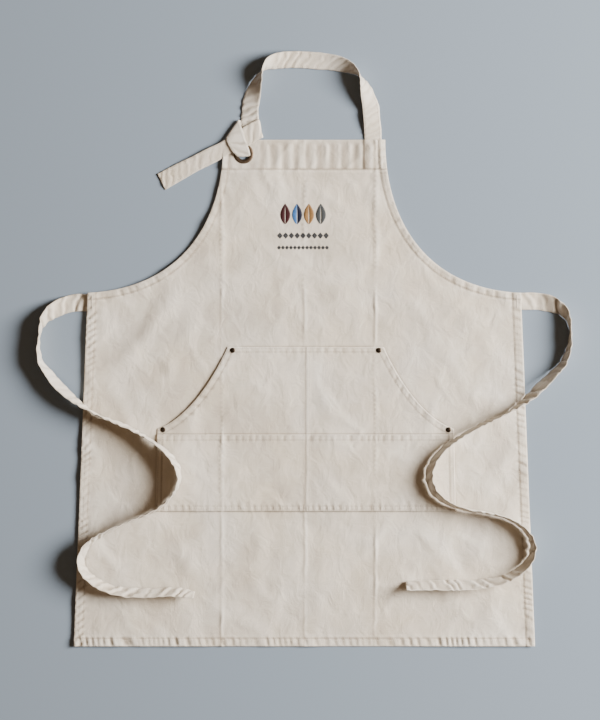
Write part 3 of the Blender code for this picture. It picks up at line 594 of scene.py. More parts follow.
SOFT_FOLDS = (   # from, to, width, height, all in millimetres
    ((-188, 92), (-286, -30), 15, 2.0), ((-226, 86), (-300, 8), 11, -1.1), ((-150, 60), (-236, -66), 18, 1.1),
    (
        (-262, -60), (-214, -132), 14, 1.0
    ), ((-205, -98), (-150, -36), 9, -0.8), ((-236, -140), (-292, -60), 12, 0.9),
    ((212, 88), (292, -22), 17, 1.2), ((258, 84), (304, 18), 11, -0.7), ((150, 70), (226, -40), 20, 0.8),
    (
        (318, -130), (262, -232), 13, 1.2
    ), ((300, -250), (340, -190), 10, 0.8), ((236, -60), (300, -120), 13, 0.7),
    (
        (-214, -262), (-160, -360), 16, 1.1
    ), ((-60, -262), (-92, -372), 16, 0.8), ((30, -258), (10, -400), 18, 0.7),
    ((170, -258), (232, -392), 17, 1.0), (
        (-300, -300), (-248, -420), 15, 0.9
    ), ((292, -330), (262, -430), 12, 0.8),
    ((-40, 232), (-66, 286), 5, 0.7), ((-22, 232), (-34, 292), 4, -0.5), ((-4, 230), (-6, 292), 5, 0.6),
    ((14, 230), (24, 288), 4, -0.5), ((30, 228), (54, 282), 5, 0.6), ((-84, 250), (-112, 196), 10, 0.9),
    ((88, 252), (122, 178), 10, 0.8), ((-70, 140), (-150, 96), 15, 0.8), ((70, 150), (150, 104), 15, 0.7),
    ((-30, 130), (-46, 20), 13, 0.6), ((52, 128), (40, 20), 14, 0.6),
)
FOLD_GAIN = 2.1
PRESSED_CREASES = ((-0.1235, 2.6), (0.107, 2.6), (0.001, 0.9))      # x in metres, height in millimetres
KNOT_FLAP = ((-0.0953, 0.3000), (-0.0814, 0.3060), (-0.0728, 0.3115), (-0.0623, 0.3169))
FLAT_SPOTS = [(EYELET[0], EYELET[1], 0.017, 0.034)] + [(r[0], r[1], 0.006, 0.018) for r in RIVETS.values()]


def calm(x, y):
    """0 where metal holds the cloth flat, 1 away from it."""
    share = np.ones(np.shape(x))
    for cx, cy, near, far in FLAT_SPOTS:
        share = share * step(np.hypot(x - cx, y - cy), near, far)
    return share


EDGE_LIFTS = {       # how far each edge curls up off the table, in millimetres
    "left": 3.2, "left_armhole": 2.2, "bottom": 0.5, "right": 1.4, "right_armhole": 1.2, "top": 0.5,
}
HEM_RIPPLES = {      # slant, wave and depth in millimetres, and how strongly the ripples' light and shade are painted
    "left": (0.8, 12.5, 0.9, 0.5), "right": (-0.4, 11.5, 0.65, 0.5), "bottom": (0.15, 12, 1.15, 0.5),
    "left_armhole": (0.15, 15, 0.55, 0.25), "right_armhole": (0.15, 15, 0.55, 0.25),
}
OPENING_LENGTH = 0.163
# How dark the painted shadow along the foot of each pocket edge is, overall and edge by edge.
FOOT_SHADE = 0.95
CONTACT = {
    "bottom": 0.50, "left": 0.70, "right": 0.80, "top": 0.95, "left_opening": 1.0, "right_opening": 1.0
}


def contact(x, y, edges, names=tuple(CONTACT)):
    """A painted shadow line along the foot of a pocket's edge, just outside it."""
    line = np.zeros(np.shape(x))
    for name in names:
        if name in edges:
            off = measure(x, y, edges[name])[0]
            line = np.maximum(line, CONTACT[name] * bump(off, -0.6 * MM, 1.0 * MM))
    return line


def soft_folds(x, y):
    """Broad folds, each a bowed ridge that dies away at its ends, in millimetres."""
    x, y = x / MM, y / MM
    height = 0 * x
    for (ax, ay), (bx, by), width, tall in SOFT_FOLDS:
        run = math.hypot(bx - ax, by - ay)
        t = np.clip(((x - ax) * (bx - ax) + (y - ay) * (by - ay)) / run**2, 0, 1)
        off = ((x - ax) * (by - ay) - (y - ay) * (bx - ax)) / run + 5 * np.sin(math.pi * t)
        past = np.hypot(x - ax - t * (bx - ax), y - ay - t * (by - ay))
        far = np.where((t > 0) & (t < 1), np.abs(off), past)
        rise = FOLD_GAIN * tall * np.sin(math.pi * np.clip(t, 0.03, 0.97)) ** 0.6
        height = height + rise * bump(far, 0, width)
    return height


def pressed_creases(x, y):
    """Sharp creases left by folding, which wander and fade: their height in millimetres and their tone, a painted
    highlight on each crease's right flank and painted shade on its left.
    """
    height, tone = 0 * x, 0 * x
    for cx, tall in PRESSED_CREASES:
        off = x - cx + MM * (1.3 * noise(y, cx, 0.05, 12) + 0.7 * noise(y, 0, 0.014, 14))
        fade = 0.15 + 0.85 * step(noise(y, cx, 0.045, 13), -0.7, 0.6)
        height = height + tall * fade * (np.exp(-np.abs(off) / (2.6 * MM)) - 0.30 * bump(off, 0, 9 * MM))
        tone = tone + fade * ridges(off, (0.70, 0.6, 1.6), (-0.55, -2.4, 1.8))
    return height, tone


def hems(x, y):
    """The turned edges: their height in millimetres, from curl, ripples and stitching, and their tone: painted
    light and shade on the ripples and pleats, painted shade in the seam grooves and painted highlights on the fold
    edges.
    """
    height, tone = 0 * x, 0 * x
    for k, (name, path) in enumerate(PANEL_EDGES.items()):
        off, place = measure(x, y, path)
        width = HEM_WIDTHS[name]
        wavy = 0.75 + 0.4 * noise(place, 0, 0.08, 60 + k)
        height = height + EDGE_LIFTS[name] * wavy * np.exp(-np.maximum(off, 0) / (24 * MM))
        if name == "top":
            band = 1 - step(off, width - 2 * MM, width)
            wave = np.sin(2 * math.pi * (place + 4 * MM * noise(place, 0, 0.03, 21)) / (17 * MM))
            swell = 1.45 * wave * step(off, 1 * MM, 12 * MM) * (0.6 + 0.4 * noise(x, y, 0.04, 22))
            height = height + band * (0.1 + swell)
            # The pleats' light and shade are painted into the colour as well.
            tone = tone + 0.42 * band * wave * step(off, 1 * MM, 10 * MM)
        else:
            slant, wave, deep, shade = HEM_RIPPLES[name]
            ripple = pucker(off, place, width, wave * MM, slant, 30 + k)
            # The ripples' light and shade are painted into the colour as well.
            height, tone = height + deep * ripple, tone + shade * ripple
        # Painted shade in the seam's groove, and painted highlights on the fold edge and just past the seam.
        line = bump(off, width, 1.3 * MM)
        height = height + 0.75 * (1 - step(off, width - 1.2 * MM, width + 1.6 * MM)) - 0.45 * line
        tone = tone - line * (0.85 + 0.25 * noise(place, 0, 0.012, 70 + k))
        tone = tone + ridges(off, (0.30, 0.4, 0.9), (0.30, width / MM + 2.4, 1.3))
    return height, tone


def over_tapes(x, y):
    """Where the panel lies over the sewn ends of strap and ties, and beside the knot's edge: its height, and
    painted shadow lines along the strap end's left edge, in its pinch and beside the knot's edge.
    """
    across, down = x - ANCHOR[0], y - ANCHOR[1]
    strap = step(13.5 * MM - np.abs(across), -1.5 * MM, 1.0 * MM) * step(down, -22.5 * MM, -20 * MM)
    line = ridges(across, (0.9, -14, 1.5)) * step(down, -24 * MM, -20 * MM)
    pinch = ridges(across + 0.2 * down, (0.7, -16, 2.2)) * bump(down, -11 * MM, 7 * MM)
    (left, _), *_, (right, _) = KNOT_FLAP
    beside = step(x, left + 7.3 * MM, left + 11.3 * MM) * (1 - step(x, right - 1.7 * MM, right + 2.3 * MM))
    flap = ridges(measure(x, y, KNOT_FLAP)[0], (0.8, 0.9, 1.2)) * beside
    height = 1.8 * strap
    for side, _, root_y in TIE_ROOTS:
        cx, cy = side * (WAIST_HALF_WIDTH - 10 * MM), WAIST_Y + root_y * MM
        wide, tall = 16 * MM - np.abs(x - cx), 14 * MM - np.abs(y - cy)
        height = height + 0.9 * step(wide, 0, 4 * MM) * step(tall, -1 * MM, 1.5 * MM)
    # Painted shadow lines in the colour: along the strap end's left edge, in its pinch and beside the knot's edge.
    return height, -line - pinch - flap


def panel_shape(x, y):
    """The height of the panel's face and its tone: the light and shade painted into its colour."""
    crumples = 0.75 * creased(x, y, 0.074, 3) + 0.55 * creased(x, y, 0.037, 7) + 0.6 * noise(x, y, 0.030, 8)
    height = 0.75 * noise(x, y, 0.15, 1) + 0.45 * noise(x, y, 0.062, 2) + crumples + soft_folds(x, y)
    # Painted light and shade on the crumples, and painted shadow lines along the feet of the pocket's edges.
    tone = 0.16 * crumples - FOOT_SHADE * contact(x, y, POCKET_EDGES)
    for part in (pressed_creases, hems, over_tapes):
        more, shade = part(x, y)
        height, tone = height + more, tone + shade
    settled = calm(x, y)
    return PANEL_TOP_Z + MM * np.maximum(height, -0.35) * settled, tone * (0.4 + 0.6 * settled)


def pocket_shape(x, y):
    """The kangaroo pocket's face: puffed between its seams, with its hand openings standing a little open. Its tone
    paints light and shade on its ripples, shade in its seam grooves and left of the divider, and highlights on its
    edges and right of the divider.
    """
    base, tone = panel_shape(x, y)
    # Painted shadow lines: the panel's line along the pocket's foot is taken off the pocket, and one is added
    # outside the lower pocket's top.
    tone = tone + FOOT_SHADE * (contact(x, y, POCKET_EDGES) - contact(x, y, LOWER_EDGES, ("top",)))
    edges = {name: measure(x, y, path) for name, path in POCKET_EDGES.items()}
    divider = x - POCKET_X
    sewn = np.minimum.reduce(
        [edges[name][0] for name in ("bottom", "left", "right", "top")] + [np.abs(divider)]
    )
    puff = step(sewn, 3 * MM, 40 * MM) * (
        0.85 + 0.6 * noise(x, y, 0.055, 80)
    ) + 0.20 * creased(x, y, 0.034, 83)
    near, far = OPENING_ROWS
    for name, gape in (("left_opening", 0.8), ("right_opening", 1.0)):
        off, place = edges[name]
        gape = gape * np.sin(math.pi * np.clip(place / OPENING_LENGTH, 0, 1)) ** 1.2
        ripple = pucker(off, place, far * MM, 16 * MM, 0.5, 85)
        puff = puff + gape * np.exp(
            -np.maximum(off, 0) / (22 * MM)
        ) + 0.45 * ripple + ridges(off, (-0.36, far, 1.1))
        # Painted light and shade on the ripples, painted shade at both stitch rows and a painted highlight along
        # the opening's edge.
        tone = tone + 0.3 * ripple + ridges(off, (-0.80, far, 1.0), (-0.3, near, 0.7), (0.35, 0.6, 0.8))
    near, far = SIDE_ROWS
    for name in ("left", "right"):
        off = edges[name][0]
        puff = puff + ridges(off, (-0.25, far, 1.0), (-0.2, near, 0.8))
        tone = tone + ridges(off, (-0.75, far, 0.9), (-0.45, near, 0.7))
    near, far = TOP_ROWS
    off, place = edges["top"]
    ripple = pucker(off, place, 8 * MM, 11 * MM, 0.1, 87)
    puff = puff + 0.34 * ripple + ridges(off, (-0.30, far, 1.1), (-0.18, near, 0.8))
    tone = tone + 0.30 * ripple + ridges(off, (-0.55, far, 1), (0.3, 0.5, 0.9))
    puff = puff + ridges(divider, (-0.35, 0, 1.1), (0.5, 3, 2.4))
    # Painted shade just left of the divider seam and a painted highlight right of it.
    tone = tone + ridges(divider, (-1.0, -0.3, 1.1), (0.45, 2.2, 1.4))
    return base + POCKET_LIFT + MM * np.maximum(puff, -0.3) * calm(x, y), tone


def lower_shape(x, y):
    """The lower pocket's face, sewn at its sides, bottom and middle and loose along its top, with light and shade
    painted on its ripples, shade in its seam grooves and a highlight along its top edge.
    """
    base, tone = pocket_shape(x, y)
    # The painted shadow line outside the lower pocket's top is taken off the lower pocket itself.
    tone = tone + FOOT_SHADE * contact(x, y, LOWER_EDGES, ("top",))
    edges = {name: measure(x, y, path) for name, path in LOWER_EDGES.items()}
    sewn = np.minimum.reduce(
        [edges[name][0] for name in ("bottom", "left", "right")] + [np.abs(x - POCKET_X)]
    )
    puff = step(sewn, 3 * MM, 30 * MM) * (0.5 + 0.5 * noise(x, y, 0.05, 90)) + 0.20 * creased(x, y, 0.030, 93)
    far = LOWER_TOP_ROWS[1]
    off, place = edges["top"]
    ripple = pucker(off, place, 9 * MM, 12 * MM, 0.0, 91)
    loose = 0.5 * step(sewn, 2 * MM, 25 * MM) * np.exp(-np.maximum(off, 0) / (9 * MM))
    puff = puff + 0.36 * ripple + loose + ridges(off, (-0.30, far, 1.1))
    tone = tone + 0.30 * ripple + ridges(off, (-0.45, far, 1), (0.35, 0.5, 0.9))
    near, far = SIDE_ROWS
    off, place = edges["bottom"]
    ripple = pucker(
        off, place, 8 * MM, 9.5 * MM, 0.1, 95
    ) + 0.6 * pucker(off, place, 13 * MM, 14 * MM, 0.0, 96)
    puff = puff + 0.40 * ripple + ridges(off, (-0.30, far, 1.0), (-0.22, near, 0.8))
    tone = tone + 0.40 * ripple + ridges(off, (-0.45, far, 1), (-0.35, near, 0.8))
    for name in ("left", "right"):
        off = edges[name][0]
        puff = puff + ridges(off, (-0.28, far, 1.0), (-0.22, near, 0.8))
        tone = tone + ridges(off, (-0.25, far, 1))
    return base + LOWER_LIFT + MM * np.maximum(puff, -0.35) * calm(x, y), tone


def inside(x, y, outline):
    """Whether each point is in a closed outline."""
    found = np.zeros(np.shape(x), bool)
    for (ax, ay), (bx, by) in zip(outline, np.roll(outline, -1, axis=0)):
        if ay != by:
            found ^= ((ay > y) != (by > y)) & (x < (bx - ax) * (y - ay) / (by - ay) + ax)
    return found


def ground(x, y):
    """The highest cloth at each place, or the floor."""
    top = np.where(inside(x, y, PANEL_OUTLINE), panel_shape(x, y)[0], 0.0)
    top = np.where(inside(x, y, POCKET_OUTLINE), pocket_shape(x, y)[0], top)
    return np.where(inside(x, y, LOWER_OUTLINE), lower_shape(x, y)[0], top)


# ---------------------------------------------------------------------------
# Cloth pieces
# ---------------------------------------------------------------------------
def walk(path, spacing, closed=False):
    """Evenly spaced points along a path, keeping its corners."""
    path = np.asarray(path, float)
    if closed:
        path = np.vstack([path, path[:1]])
    found = []
    for a, b in zip(path, path[1:]):
        count = max(1, int(round(np.hypot(*(b - a)) / spacing)))
        found.extend(a + (b - a) * i / count for i in range(count))
    if not closed:
        found.append(path[-1])
    return np.array(found)


def headings(path):
    """Which way a path of x and y runs at each of its points."""
    way = np.gradient(np.asarray(path, float), axis=0)
    return way / np.hypot(way[:, 0], way[:, 1])[:, None]


def offset_path(path, off):
    """The path moved to its left by off."""
    way = headings(path)
    return np.asarray(path, float) + off * np.stack([-way[:, 1], way[:, 0]], 1)


HOLE_POINTS = 48


def cut_cloth(outline, spacing, rows, bands, holes):
    """Points over an outline and the triangles between them, anticlockwise."""
    fine = spacing / 2
    closed = np.vstack([outline, outline[:1]])
    border = walk(outline, fine, closed=True)
    low, high = border.min(0), border.max(0)
    gx, gy = np.meshgrid(np.arange(low[0], high[0], fine), np.arange(low[1], high[1], fine * 0.866))
    j, i = np.indices(gx.shape)
    gx = gx + fine * 0.5 * (j % 2)
    wanted = (j % 2 == 0) & ((i + j // 2) % 2 == 0)
    for path, depth in bands:
        wanted |= np.abs(measure(gx, gy, path)[0]) < depth
    wanted &= inside(gx, gy, outline) & (np.abs(measure(gx, gy, closed)[0]) > 0.6 * fine)
    extra = []
    for path in rows:
        wanted &= np.abs(measure(gx, gy, path)[0]) > 2.1 * MM
        for off in (-1.3 * MM, 0.0, 1.3 * MM):
            line = walk(offset_path(path, off), fine)
            clear = np.abs(measure(*line.T, closed)[0]) > 0.5 * MM
            extra.append(line[inside(*line.T, outline) & clear])
    for cx, cy, radius in holes:
        wanted &= np.hypot(gx - cx, gy - cy) > radius + 0.7 * fine
    points = [border, np.stack([gx[wanted], gy[wanted]], 1)] + extra
    edges = [(k, (k + 1) % len(border)) for k in range(len(border))]
    count = sum(len(p) for p in points)
    angles = np.linspace(0, 2 * math.pi, HOLE_POINTS, endpoint=False)
    for cx, cy, radius in holes:
        points.append(np.stack([cx + radius * np.cos(angles), cy + radius * np.sin(angles)], 1))
        edges += [(count + k, count + (k + 1) % HOLE_POINTS) for k in range(HOLE_POINTS)]
        count += HOLE_POINTS
    made = delaunay_2d_cdt([Vector(p) for p in np.vstack(points)], edges, [], 1, 1e-6)
    flat = np.array([tuple(v) for v in made[0]])
    tris = np.array([f for f in made[2] if len(f) == 3])
    for cx, cy, radius in holes:
        middle = flat[tris].mean(1)
        tris = tris[np.hypot(middle[:, 0] - cx, middle[:, 1] - cy) > radius * 0.995]
    a, b, c = (flat[tris[:, k]] for k in range(3))
    turn = (b[:, 0] - a[:, 0]) * (c[:, 1] - a[:, 1]) - (b[:, 1] - a[:, 1]) * (c[:, 0] - a[:, 0])
    whole = np.abs(turn) > 1e-13
    tris, turn = tris[whole], turn[whole]
    tris[turn < 0] = tris[turn < 0][:, ::-1]
    used, index = np.unique(tris, return_inverse=True)
    return flat[used], index.reshape(tris.shape)


def sheet(name, outline, shape, thickness, material, spacing=4.4 * MM, rows=(), bands=(), holes=(), drop=0.0):
    """A closed sheet of cloth over an outline. Shape gives its face's height and tone, rows are stitch lines
    that its points follow, and bands are (path, depth) strips with twice as many points."""
    flat, tris = cut_cloth(outline, spacing, rows, bands, holes)
    n = len(flat)
    top, tone = shape(*flat.T)
    top = top - drop
    deep = thickness(*flat.T) if callable(thickness) else np.full(n, thickness)
    ways = np.vstack([tris[:, [0, 1]], tris[:, [1, 2]], tris[:, [2, 0]]])
    rim = ways[~np.isin(ways[:, 0] * n + ways[:, 1], ways[:, 1] * n + ways[:, 0])]
    run = flat[rim[:, 1]] - flat[rim[:, 0]]
    normal = unit(np.stack([run[:, 1], -run[:, 0]], 1))
    out = np.zeros((n, 2))
    for k in (0, 1):
        np.add.at(out, rim[:, k], normal)
    on_rim = np.unique(rim)
    place = np.full(n, -1)
    place[on_rim] = np.arange(len(on_rim))
    bulge = 0.35 * deep[on_rim]
    ring = np.column_stack([flat[on_rim] + unit(out[on_rim]) * bulge[:, None], (top - deep / 2)[on_rim]])
    vertices = np.vstack([np.column_stack([flat, top]), np.column_stack([flat, top - deep]), ring])
    a, b = rim[:, 0], rim[:, 1]
    sides_up = np.column_stack([b, a, 2 * n + place[a], 2 * n + place[b]])
    sides_down = np.column_stack([2 * n + place[b], 2 * n + place[a], n + a, n + b])
    faces = [tris, tris[:, ::-1] + n, sides_up, sides_down]
    sizes = [3] * (2 * len(tris)) + [4] * (2 * len(rim))
    # The underside carries a third of the face's painted light and shade, and the rim all of it.
    tones = np.concatenate([tone, tone * 0.3, tone[on_rim]])
    return add_mesh(name, vertices, faces, material, vertices[:, :2], tones, sizes)


# ---------------------------------------------------------------------------
# Tape and stitches
# ---------------------------------------------------------------------------
def normals_of(grid):
    return unit(np.cross(np.gradient(grid, axis=0), np.gradient(grid, axis=1)))


def tape_grid(stations, width=TAPE_WIDTH, columns=15):
    """The tape's middle surface, from rows of x, y, lean and foot. Rows run from its lower to its upper edge."""
    x, y, lean, foot = stations.T
    way = headings(stations[:, :2])
    left = np.stack([-way[:, 1], way[:, 0], 0 * x], 1)
    up = np.array([0, 0, 1.0])
    across = left * np.sin(lean)[:, None] + up * np.cos(lean)[:, None]
    through = left * np.cos(lean)[:, None] - up * np.sin(lean)[:, None]
    height = foot + width / 2 * np.abs(across[:, 2]) + TAPE_THICKNESS / 2 * np.abs(through[:, 2])
    middle = np.stack([x, y, height], 1)
    share = np.linspace(-1, 1, columns)
    return middle[:, None, :] + across[:, None, :] * (share * width / 2)[None, :, None]


def arc_of(grid):
    return run_of(grid[:, grid.shape[1] // 2])


def pucker_tape(grid, seed, fade_in, fade_out=0.0, deep=1.0, pitch=13 * MM):
    """Ripples along a stitched tape, deeper between its two rows of stitches, and its tone: painted light and shade
    on the ripples, painted shade at the stitch rows and a painted highlight along both edges.
    """
    length = arc_of(grid)
    share = np.linspace(-1, 1, grid.shape[1])
    s = length[:, None] + 0 * share[None, :]
    a = share[None, :] + 0 * s
    drift = 8 * MM * noise(s, 0, 0.027, seed) + 3 * MM * noise(s, a * 0.02, 0.011, seed + 5)
    wave = np.sin(2 * math.pi * (s + drift + 7.5 * MM * a) / pitch)
    second = np.sin(2 * math.pi * (s + 6 * MM * a + drift) / (0.57 * pitch) + seed)
    strength = 0.30 + 0.85 * step(noise(s, 3, 0.030, seed + 1), -0.7, 0.6)
    level = (0.75 * wave + 0.3 * second) * strength * (1 - 0.35 * a**4)
    ease = step(length, 0, fade_in)
    if fade_out:
        ease = ease * step(length[-1] - length, 0, fade_out)
    deep = np.broadcast_to(deep, len(length))[:, None]
    moved = grid + normals_of(grid) * (MM * deep * level * ease[:, None])[:, :, None]
    pull = 0.45 * MM * noise(length, 0, 0.011, seed + 2) * ease
    pull = (pull[:, None] * np.abs(a) ** 3 * np.sign(a))[:, :, None]
    moved = moved + unit(grid[:, -1] - grid[:, 0])[:, None, :] * pull
    # Painted light and shade: crests lighter and troughs darker, shade at the stitch rows, a highlight on the
    # edges.
    tone = 0.62 * level * ease[:, None] - 0.45 * bump(np.abs(a), 0.80, 0.06) + 0.30 * (np.abs(a) > 0.97)
    return moved, tone


def tape(name, grid, tone, material, start=0.0, thickness=TAPE_THICKNESS):
    """A closed tape round its middle surface, with rounded edges and a groove at each row of stitches."""
    rows, columns = grid.shape[:2]
    share = np.linspace(-1, 1, columns)
    body = 1 - 0.22 * bump(np.abs(share), 0.80, 0.07) - 0.35 * np.abs(share) ** 14
    thickness = np.broadcast_to(thickness, rows)[:, None]
    half = (thickness / 2 * body[None, :])[:, :, None] * normals_of(grid)
    high = grid[:, -1] + unit(grid[:, -1] - grid[:, -2]) * thickness * 0.30
    low = grid[:, 0] + unit(grid[:, 0] - grid[:, 1]) * thickness * 0.30
    loop = np.concatenate([grid + half, high[:, None], (grid - half)[:, ::-1], low[:, None]], axis=1)
    k = loop.shape[1]
    half_width = np.linalg.norm(grid[:, -1] - grid[:, 0], axis=1).mean() / 2
    past = half_width + TAPE_THICKNESS / 2
    v = np.concatenate([share * half_width, [past], share[::-1] * half_width, [-past]])
    places = np.stack([np.repeat(arc_of(grid) + start, k), np.tile(v, rows)], 1)
    # The back face gets the front's painted light and shade turned over, crests for troughs, with its highlights
    # weakened, and the rounded edges get a painted highlight.
    back = -tone[:, ::-1] + 0.6 * np.minimum(tone[:, ::-1], 0)
    tones = np.concatenate([tone, tone[:, -1:] + 0.2, back, tone[:, :1] + 0.2], 1)
    i = np.arange(rows - 1)[:, None] * k
    j = np.arange(k)[None, :]
    a, b = i + j, i + (j + 1) % k
    sides = np.stack([a, a + k, b + k, b], -1).reshape(-1, 4)
    faces = [sides, j, (rows - 1) * k + j[:, ::-1]]
    return add_mesh(
        name, loop.reshape(-1, 3), faces, material, places, tones.ravel(), [4] * len(sides) + [k, k]
    )


def tubes(name, centre, normal, radius, sides, material, places):
    """Closed bits of thread. Centre and normal are (count, rings, 3), radius (rings,), places (count, rings)."""
    count, rings = centre.shape[:2]
    way = unit(np.gradient(centre, axis=1))
    side = unit(np.cross(way, normal))
    up = np.cross(side, way)
    angles = 2 * math.pi * np.arange(sides) / sides
    cos, sin = (turn(angles)[None, None, :, None] for turn in (np.cos, np.sin))
    circle = side[:, :, None, :] * cos + up[:, :, None, :] * sin
    vertices = (centre[:, :, None, :] + circle * radius[None, :, None, None]).reshape(-1, 3)
    round_it = (angles * radius.max())[None, None, :] + np.arange(count)[:, None, None] * 7 * MM
    spots = np.stack(np.broadcast_arrays(places[:, :, None], round_it), -1).reshape(-1, 2)
    base = (np.arange(count) * rings * sides)[:, None, None]
    ring = (np.arange(rings - 1) * sides)[None, :, None]
    j = np.arange(sides)[None, None, :]
    a, b = base + ring + j, base + ring + (j + 1) % sides
    quads = np.stack([a, a + sides, b + sides, b], -1).reshape(-1, 4)
    starts = base[:, 0] + np.arange(sides)[None, :]
    ends = base[:, 0] + (rings - 1) * sides + np.arange(sides)[None, ::-1]
    sizes = [4] * len(quads) + [sides] * (2 * count)
    return add_mesh(name, vertices, [quads, starts, ends], material, spots, None, sizes)


def stitch_rows(name, rows, material, rings=5, sides=5):
    """Short stitches along rows of (points, normals), whose ends dive into the cloth."""
    centres, normals, places = [], [], []
    t = np.linspace(0, 1, rings)
    curve = np.sin(math.pi * t) ** 0.6
    for row, (points, ups) in enumerate(rows):
        far = run_of(points)
        count = int((far[-1] - STITCH_LENGTH) / STITCH_PITCH)
        if count < 1:
            continue
        first = (far[-1] - (count - 1) * STITCH_PITCH - STITCH_LENGTH) / 2 + np.arange(count) * STITCH_PITCH
        at = first[:, None] + t[None, :] * STITCH_LENGTH
        centre, normal = (
            np.stack([np.interp(at, far, rows_of[:, k]) for k in range(3)], -1) for rows_of in (points, ups)
        )
        normal = unit(normal)
        centres.append(centre + normal * (THREAD_RADIUS * (0.9 * curve - 0.8 * (1 - curve)))[None, :, None])
        normals.append(normal)
        places.append(at + row)
    thick = THREAD_RADIUS * (0.45 + 0.55 * np.sin(math.pi * np.clip(t, 0.06, 0.94)) ** 0.5)
    return tubes(name, np.vstack(centres), np.vstack(normals), thick, sides, material, np.vstack(places))


def on_cloth(x, y, shape, below=0.0):
    """Points on a cloth's face, or that far below it, and which way is out."""
    small = 0.8 * MM
    rise_x = (shape(x + small, y)[0] - shape(x - small, y)[0]) / (2 * small)
    rise_y = (shape(x, y + small)[0] - shape(x, y - small)[0]) / (2 * small)
    normal = unit(np.stack([-rise_x, -rise_y, np.ones(x.shape)], -1))
    return np.stack([x, y, shape(x, y)[0] - below], -1), -normal if below else normal


def seam(path, shape, below=0.0, keep=None):
    """A seam's points on a cloth, where keep says, and which way is out."""
    x, y = walk(path, SEAM_STEP).T
    if keep:
        kept = keep(x, y)
        x, y = x[kept], y[kept]
    return on_cloth(x, y, shape, below)


def edge_seams(edge, offs, shape, keep=None):
    """Rows of stitches at each of these distances in from an edge, in millimetres."""
    return [seam(offset_path(edge, off * MM), shape, keep=keep) for off in offs]


def satin(name, starts, ends, shape, material, radius=0.26 * MM, rings=7, arch=0.45 * MM):
    """Threads laid side by side between pairs of points on the cloth, standing proud in the middle."""
    starts, ends = np.asarray(starts, float), np.asarray(ends, float)
    t = np.linspace(0, 1, rings)
    spots = starts[:, None, :] * (1 - t)[None, :, None] + ends[:, None, :] * t[None, :, None]
    points, normal = on_cloth(spots[..., 0], spots[..., 1], shape)
    length = np.linalg.norm(ends - starts, axis=1)
    rise = arch * np.sin(math.pi * t) ** 0.55 - 0.25 * MM * (np.abs(2 * t - 1) ** 6)
    rise = rise[None, :] * np.clip(length / (3 * MM), 0.35, 1)[:, None]
    thick = radius * (0.6 + 0.4 * np.sin(math.pi * np.clip(t, 0.08, 0.92)) ** 0.4)
    places = length[:, None] * t[None, :] + np.arange(len(starts))[:, None] * 3 * MM
    return tubes(name, points + normal * rise[..., None], normal, thick, 5, material, places)


def lathe(name, profile, centre, material, segments):
    """A closed ring or cap turned round an upright axis, from (radius, height, wear) points."""
    profile = np.asarray(profile, float)
    angles = 2 * math.pi * np.arange(segments) / segments
    solid = profile[0, 0] == 0
    inner = profile[1:-1] if solid else profile
    k = len(inner)
    x = centre[0] + np.cos(angles)[:, None] * inner[None, :, 0]
    y = centre[1] + np.sin(angles)[:, None] * inner[None, :, 0]
    vertices = np.stack([x, y, np.broadcast_to(inner[None, :, 1], (segments, k))], -1).reshape(-1, 3)
    tone = np.tile(inner[:, 2], segments)
    i = (np.arange(segments) * k)[:, None]
    i2 = np.roll(i, -1, axis=0)
    j = np.arange(k - 1 if solid else k)[None, :]
    j2 = (j + 1) % k
    faces = [np.stack([i + j, i2 + j, i2 + j2, i + j2], -1).reshape(-1, 4)]
    sizes = [4] * len(faces[0])
    if solid:
        poles = [[centre[0], centre[1], profile[end, 1]] for end in (0, -1)]
        n = len(vertices)
        vertices = np.vstack([vertices, poles])
        tone = np.concatenate([tone, profile[[0, -1], 2]])
        faces += [np.column_stack([np.full(segments, n), i2[:, 0], i[:, 0]]),
                  np.column_stack([np.full(segments, n + 1), i[:, 0] + k - 1, i2[:, 0] + k - 1])]
        sizes += [3] * (2 * segments)
    return add_mesh(name, vertices, faces, material, vertices[:, :2], tone, sizes)


def strip(path, near, far):
    """The outline between two offsets of a path."""
    path = np.asarray(path, float)
    return np.vstack([offset_path(path, near), offset_path(path, far)[::-1]])


def declare(piece, body, slot, *nodes):
    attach(piece, body)
    if nodes:
        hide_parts(*nodes)
    return piece


def length_of(path):
    return float(np.hypot(*np.diff(np.asarray(path), axis=0).T).sum())


def make_panel(canvas, thread):
    seams = {name: offset_path(edge, HEM_WIDTHS[name]) for name, edge in PANEL_EDGES.items()}
    bands = [(edge, 15 * MM) for edge in PANEL_EDGES.values()]
    bands += [(np.array([(x, HEM_Y), (x, WAIST_Y)]), 6 * MM) for x, _ in PRESSED_CREASES]
    bands += [
        (np.array([(-BIB_HALF_WIDTH, BIB_TOP_Y - 22 * MM), (BIB_HALF_WIDTH, BIB_TOP_Y - 22 * MM)]), 26 * MM)
    ]
    hole = (EYELET[0], EYELET[1], 9.5 * MM)
    feet = [offset_path(edge, -0.6 * MM) for edge in POCKET_EDGES.values()]
    panel = sheet("panel_cloth", PANEL_OUTLINE, panel_shape, CANVAS_THICKNESS, canvas,
                  rows=list(seams.values()) + feet, bands=bands, holes=[hole])
    declare(panel, "apron", "canvas", "body_panel")

    rows = []
    for name, edge in PANEL_EDGES.items():
        width = HEM_WIDTHS[name]
        offs = {
            "top": (width, 5 * MM), "bottom": (width, width - 3.5 * MM)
        }.get(name, (width, width - 6 * MM))
        for off in offs:
            line = walk(offset_path(edge, off), 1.5 * MM)
            keep = inside(line[:, 0], line[:, 1], PANEL_OUTLINE)
            line = line[keep]
            rows.append(on_cloth(line[:, 0], line[:, 1], panel_shape))
    stitches = stitch_rows("panel_stitches", rows, thread)
    declare(stitches, "apron", "ecru_thread")


